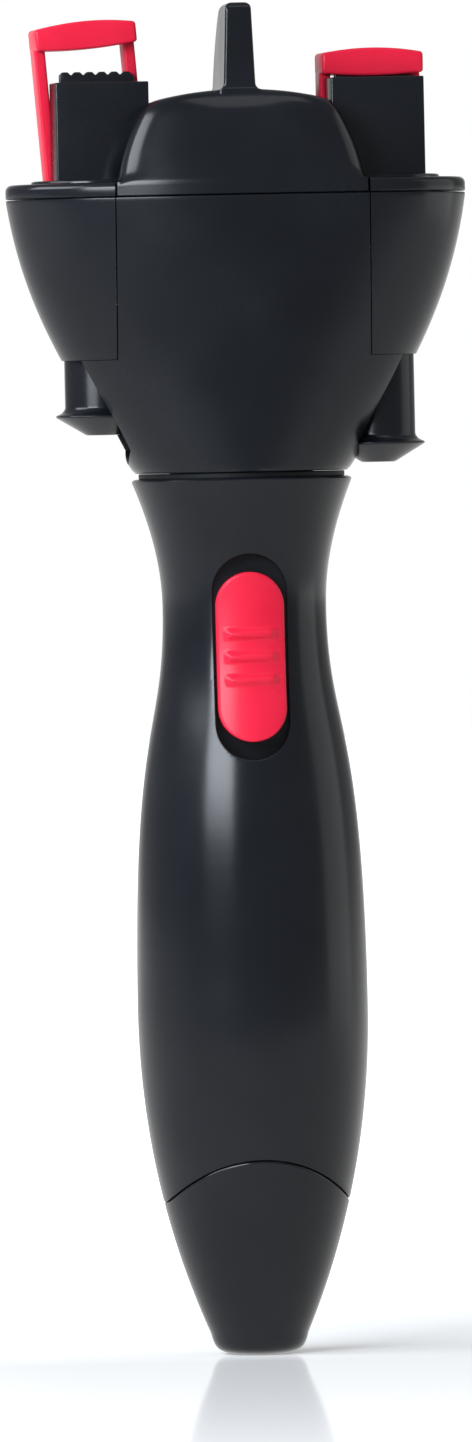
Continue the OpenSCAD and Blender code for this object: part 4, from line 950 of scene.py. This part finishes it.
# %% Turn the buttons
def eased(profile, r, count=4):
    """Rounds the corners of a profile of (radius, height)."""
    points = [profile[0]]
    for a, b, c in zip(profile, profile[1:], profile[2:]):
        a, b, c = map(np.array, (a, b, c))
        ra, rc = (min(r, 0.45 * np.hypot(*(q - b))) for q in (a, c))
        p = b + (a - b) * ra / np.hypot(*(a - b))
        q = b + (c - b) * rc / np.hypot(*(c - b))
        steps = np.linspace(0, 1, count + 1)
        points += [tuple((1 - t) ** 2 * p + 2 * t * (1 - t) * b + t * t * q) for t in steps]
    return points + [profile[-1]]


BUTTON_Z = 161.5
FOOT_R, STEM_R, TIP_R = 8.5, 6.8, 3
stem = [(0, BUTTON_Z), (TIP_R, BUTTON_Z), (FOOT_R, BUTTON_Z + 3.3), (FOOT_R, BUTTON_Z + 3.6),
        (7.4, BUTTON_Z + 4.1), (STEM_R, BUTTON_Z + 4.9), (STEM_R, BRIDGE_Z), (TIP_R, BRIDGE_Z),
        (TIP_R, BRIDGE_Z + 2), (0, BRIDGE_Z + 2)]
for side, name, lift in ((-1, "left", OPEN), (1, "right", 0.0)):
    button = spun(eased(stem, 0.35), 96, (side * CLIP_X, 0))
    bmesh.ops.translate(button, vec=(0, 0, lift), verts=button.verts)
    keep(button, f"push_button_{name}_skin", f"frame_{name}", "black_gloss_abs", [f"push_button_{name}"])

# %% [markdown]
# ## Screws
#
# The shells are screwed together from behind. A pan head with a cross recess sits at
# the bottom of each hole.

# %% Six screws
SHANK_R, PAN_R = 1.13, 2.1
CROSS_L, CROSS_W = 1.2, 0.28


def screw(x, z, tip_y, head_y):
    profile = [(0, tip_y), (SHANK_R, tip_y), (SHANK_R, head_y), (PAN_R, head_y), (PAN_R, head_y + 0.9),
               (1.8, head_y + 1.4), (0, head_y + 1.6)]
    recess = (head_y + 0.6, head_y + 3)
    cross = carve(block(-CROSS_L, CROSS_L, -CROSS_W, CROSS_W, *recess),
                  block(-CROSS_W, CROSS_W, -CROSS_L, CROSS_L, *recess), "UNION")
    return lay_back(carve(spun(eased(profile, 0.2, 3), 40), cross), x, z)


pair = merge(*[screw(s * SCREW_X, SCREW_Z, -9, 6) for s in sides])
keep(pair, "handle_screw_pair", "handle", "bright_steel", ["handle_screws"])
four = merge(*[screw(x, z, -10.5, 9) for x, z in head_screws])
keep(four, "head_screw_set", "head", "bright_steel", ["head_screws"])

# %% [markdown]
# ## The table
#
# The photograph has plain white all round and a grey mirror image of the foot below it,
# as on a polished acrylic table. The table is lit like any surface, so it keeps the
# tool's shadow, and glows just enough to be white to the camera. The glow adds no light
# to the tool, because only the camera sees it.

# %% A polished white table
def white_table():
    """White to the camera, with the tool's shadow, and with its mirror image in a soft
    strip in front of it. In reflections the table is white near the tool and greyer
    from a third of a metre in front."""
    material, tree, out, place = new_material("acrylic_white_polished")
    path = add(tree, "LightPath", {}, {})
    parts = add(tree, "SeparateXYZ", {}, {"Vector": place})

    def between(value, start, end, low, high):
        node = add(tree, "MapRange", {"interpolation_type": "SMOOTHSTEP"}, {
            "Value": value, "From Min": start, "From Max": end, "To Min": low, "To Max": high})
        return node.outputs["Result"]

    def times(a, b):
        return add(tree, "Math", {"operation": "MULTIPLY"}, {0: a, 1: b}).outputs[0]

    away = add(tree, "VectorMath", {"operation": "LENGTH"}, {0: place}).outputs["Value"]
    glow = times(between(away, 0.05, 0.5, 0.24, 1.0), path.outputs["Is Camera Ray"])
    paint = add(tree, "BsdfDiffuse", {}, {"Color": (0.8, 0.8, 0.8, 1)})
    lift = add(tree, "Emission", {}, {"Color": (1, 1, 1, 1), "Strength": glow})
    lit = add(tree, "AddShader", {}, {0: paint.outputs[0], 1: lift.outputs[0]})
    seen = add(tree, "Math", {"operation": "MAXIMUM"}, {
        0: path.outputs["Is Glossy Ray"], 1: path.outputs["Is Transmission Ray"]})
    white = add(tree, "Emission", {}, {
        "Color": (1, 1, 1, 1), "Strength": between(parts.outputs["Y"], -0.9, -0.3, 0.25, 0.95)})
    plain = add(tree, "MixShader", {}, {0: seen.outputs[0], 1: lit.outputs[0], 2: white.outputs[0]})
    across = add(tree, "Math", {"operation": "ABSOLUTE"}, {0: parts.outputs["X"]}).outputs[0]
    strip = times(between(across, 0.03, 0.14, 0.5, 0.0), between(parts.outputs["Y"], 0.03, -0.03, 0.0, 1.0))
    mirror = add(tree, "BsdfGlossy", {}, {"Color": (1, 1, 1, 1), "Roughness": 0.06})
    both = add(tree, "MixShader", {}, {
        0: times(strip, path.outputs["Is Camera Ray"]), 1: plain.outputs[0], 2: mirror.outputs[0]})
    tree.links.new(both.outputs[0], out.inputs["Surface"])
    return material


top = bmesh.new()
bmesh.ops.create_grid(top, x_segments=1, y_segments=1, size=6)
table = as_object(top, "table")
table.data.materials.append(white_table())
print("table:", table.data.materials[0].name)

# %% [markdown]
# ## Light
#
# Black gloss shows the lamps more than its own colour, so the lamps are placed for
# their reflections. A softbox in front on the left gives the blue-grey band down the
# left of the handle and the light corner of the dome. One high on the left lights the
# red frames, a weak wide one on the right draws the faint line along the right edge,
# and a weak top light the glints on the collar and rim. The world is white to the
# camera. In reflections it is light straight behind the tool and a deep grey all round.

# %% Lamps and world
def direction(azimuth, elevation):
    """Where something lies as seen from the tool, in degrees from the front and up."""
    a, e = math.radians(azimuth), math.radians(elevation)
    return Vector((math.sin(a) * math.cos(e), -math.cos(a) * math.cos(e), math.sin(e)))


def softbox(name, azimuth, elevation, far, width, height, radiance, colour):
    """A softbox in a direction from the tool, at the brightness that it shows."""
    light = bpy.data.lights.new(name, "AREA")
    light.shape, light.size, light.size_y = "RECTANGLE", width, height
    light.energy, light.color = radiance * math.pi * width * height, colour
    obj = bpy.data.objects.new(name, light)
    bpy.context.scene.collection.objects.link(obj)
    toward = direction(azimuth, elevation)
    obj.location = Vector((0, 0, 0.13)) + far * toward
    obj.rotation_mode = "QUATERNION"
    obj.rotation_quaternion = (-toward).to_track_quat("-Z", "Y")
    print(name, "at", [round(v, 2) for v in obj.location])


softbox("softbox_left", -36, 18, 1.1, 0.58, 0.40, 17.5, (0.86, 0.92, 1.0))
softbox("softbox_high_left", -78, 32, 1.1, 0.7, 0.5, 9.0, (0.9, 0.95, 1.0))
softbox("softbox_right", 96, 14, 1.2, 0.8, 1.0, 0.8, (0.94, 1.0, 0.97))
softbox("softbox_top", 20, 66, 1.1, 0.6, 0.4, 1.2, (1, 1, 1))

world = bpy.data.worlds.new("studio")
bpy.context.scene.world = world
world.use_nodes = True
world_tree = world.node_tree
world_tree.nodes.clear()
every_way = add(world_tree, "TexCoord", {}, {}).outputs["Generated"]
way = add(world_tree, "SeparateXYZ", {}, {"Vector": every_way})
behind = add(world_tree, "MapRange", {}, {
    "Value": way.outputs["Y"], "From Min": 0.86, "From Max": 0.97, "To Min": 0.32, "To Max": 0.7})
sky = add(world_tree, "Background", {}, {"Color": (0.9, 0.95, 1.0, 1), "Strength": 0.35})
studio = add(world_tree, "Background", {}, {"Color": (1, 1, 1, 1), "Strength": behind.outputs["Result"]})
bare = add(world_tree, "Background", {}, {"Color": (1, 1, 1, 1), "Strength": 1.0})
ray = add(world_tree, "LightPath", {}, {})
mirrored = add(world_tree, "Math", {"operation": "MAXIMUM"}, {
    0: ray.outputs["Is Glossy Ray"], 1: ray.outputs["Is Transmission Ray"]})
blend = add(world_tree, "MixShader", {}, {0: mirrored.outputs[0], 1: sky.outputs[0], 2: studio.outputs[0]})
blend = add(world_tree, "MixShader", {}, {
    0: ray.outputs["Is Camera Ray"], 1: blend.outputs[0], 2: bare.outputs[0]})
add(world_tree, "OutputWorld", {}, {"Surface": blend.outputs[0]})
bpy.context.scene.view_settings.view_transform = "Standard"

# %% [markdown]
# ## Camera
#
# The photograph is taken from almost straight ahead, four degrees from the left and
# one degree above, from far off. The tool leans a little over one degree to the
# left in it, so the camera rolls by as much.

# %% Place the camera
camera = bpy.data.cameras.new("camera")
camera.lens, camera.sensor_width = 400, 36
camera.dof.use_dof = False
camera.clip_start, camera.clip_end = 0.05, 20
view = bpy.data.objects.new("camera", camera)
bpy.context.scene.collection.objects.link(view)
AZIMUTH, ELEVATION, ROLL_TURN = -4, 1, -1.23
FRAME_HEIGHT = 0.2619
back = direction(AZIMUTH, ELEVATION)
right_hand = Vector((math.cos(math.radians(AZIMUTH)), math.sin(math.radians(AZIMUTH)), 0))
distance = FRAME_HEIGHT * camera.lens / camera.sensor_width
view.location = right_hand * -0.00196 + Vector((0, 0, 0.115)) + back * distance
roll = Matrix.Rotation(math.radians(ROLL_TURN), 4, "Z").to_quaternion()
view.rotation_mode = "QUATERNION"
view.rotation_quaternion = (-back).to_track_quat("-Z", "Y") @ roll
bpy.context.scene.camera = view
print("camera at", [round(v, 2) for v in view.location])
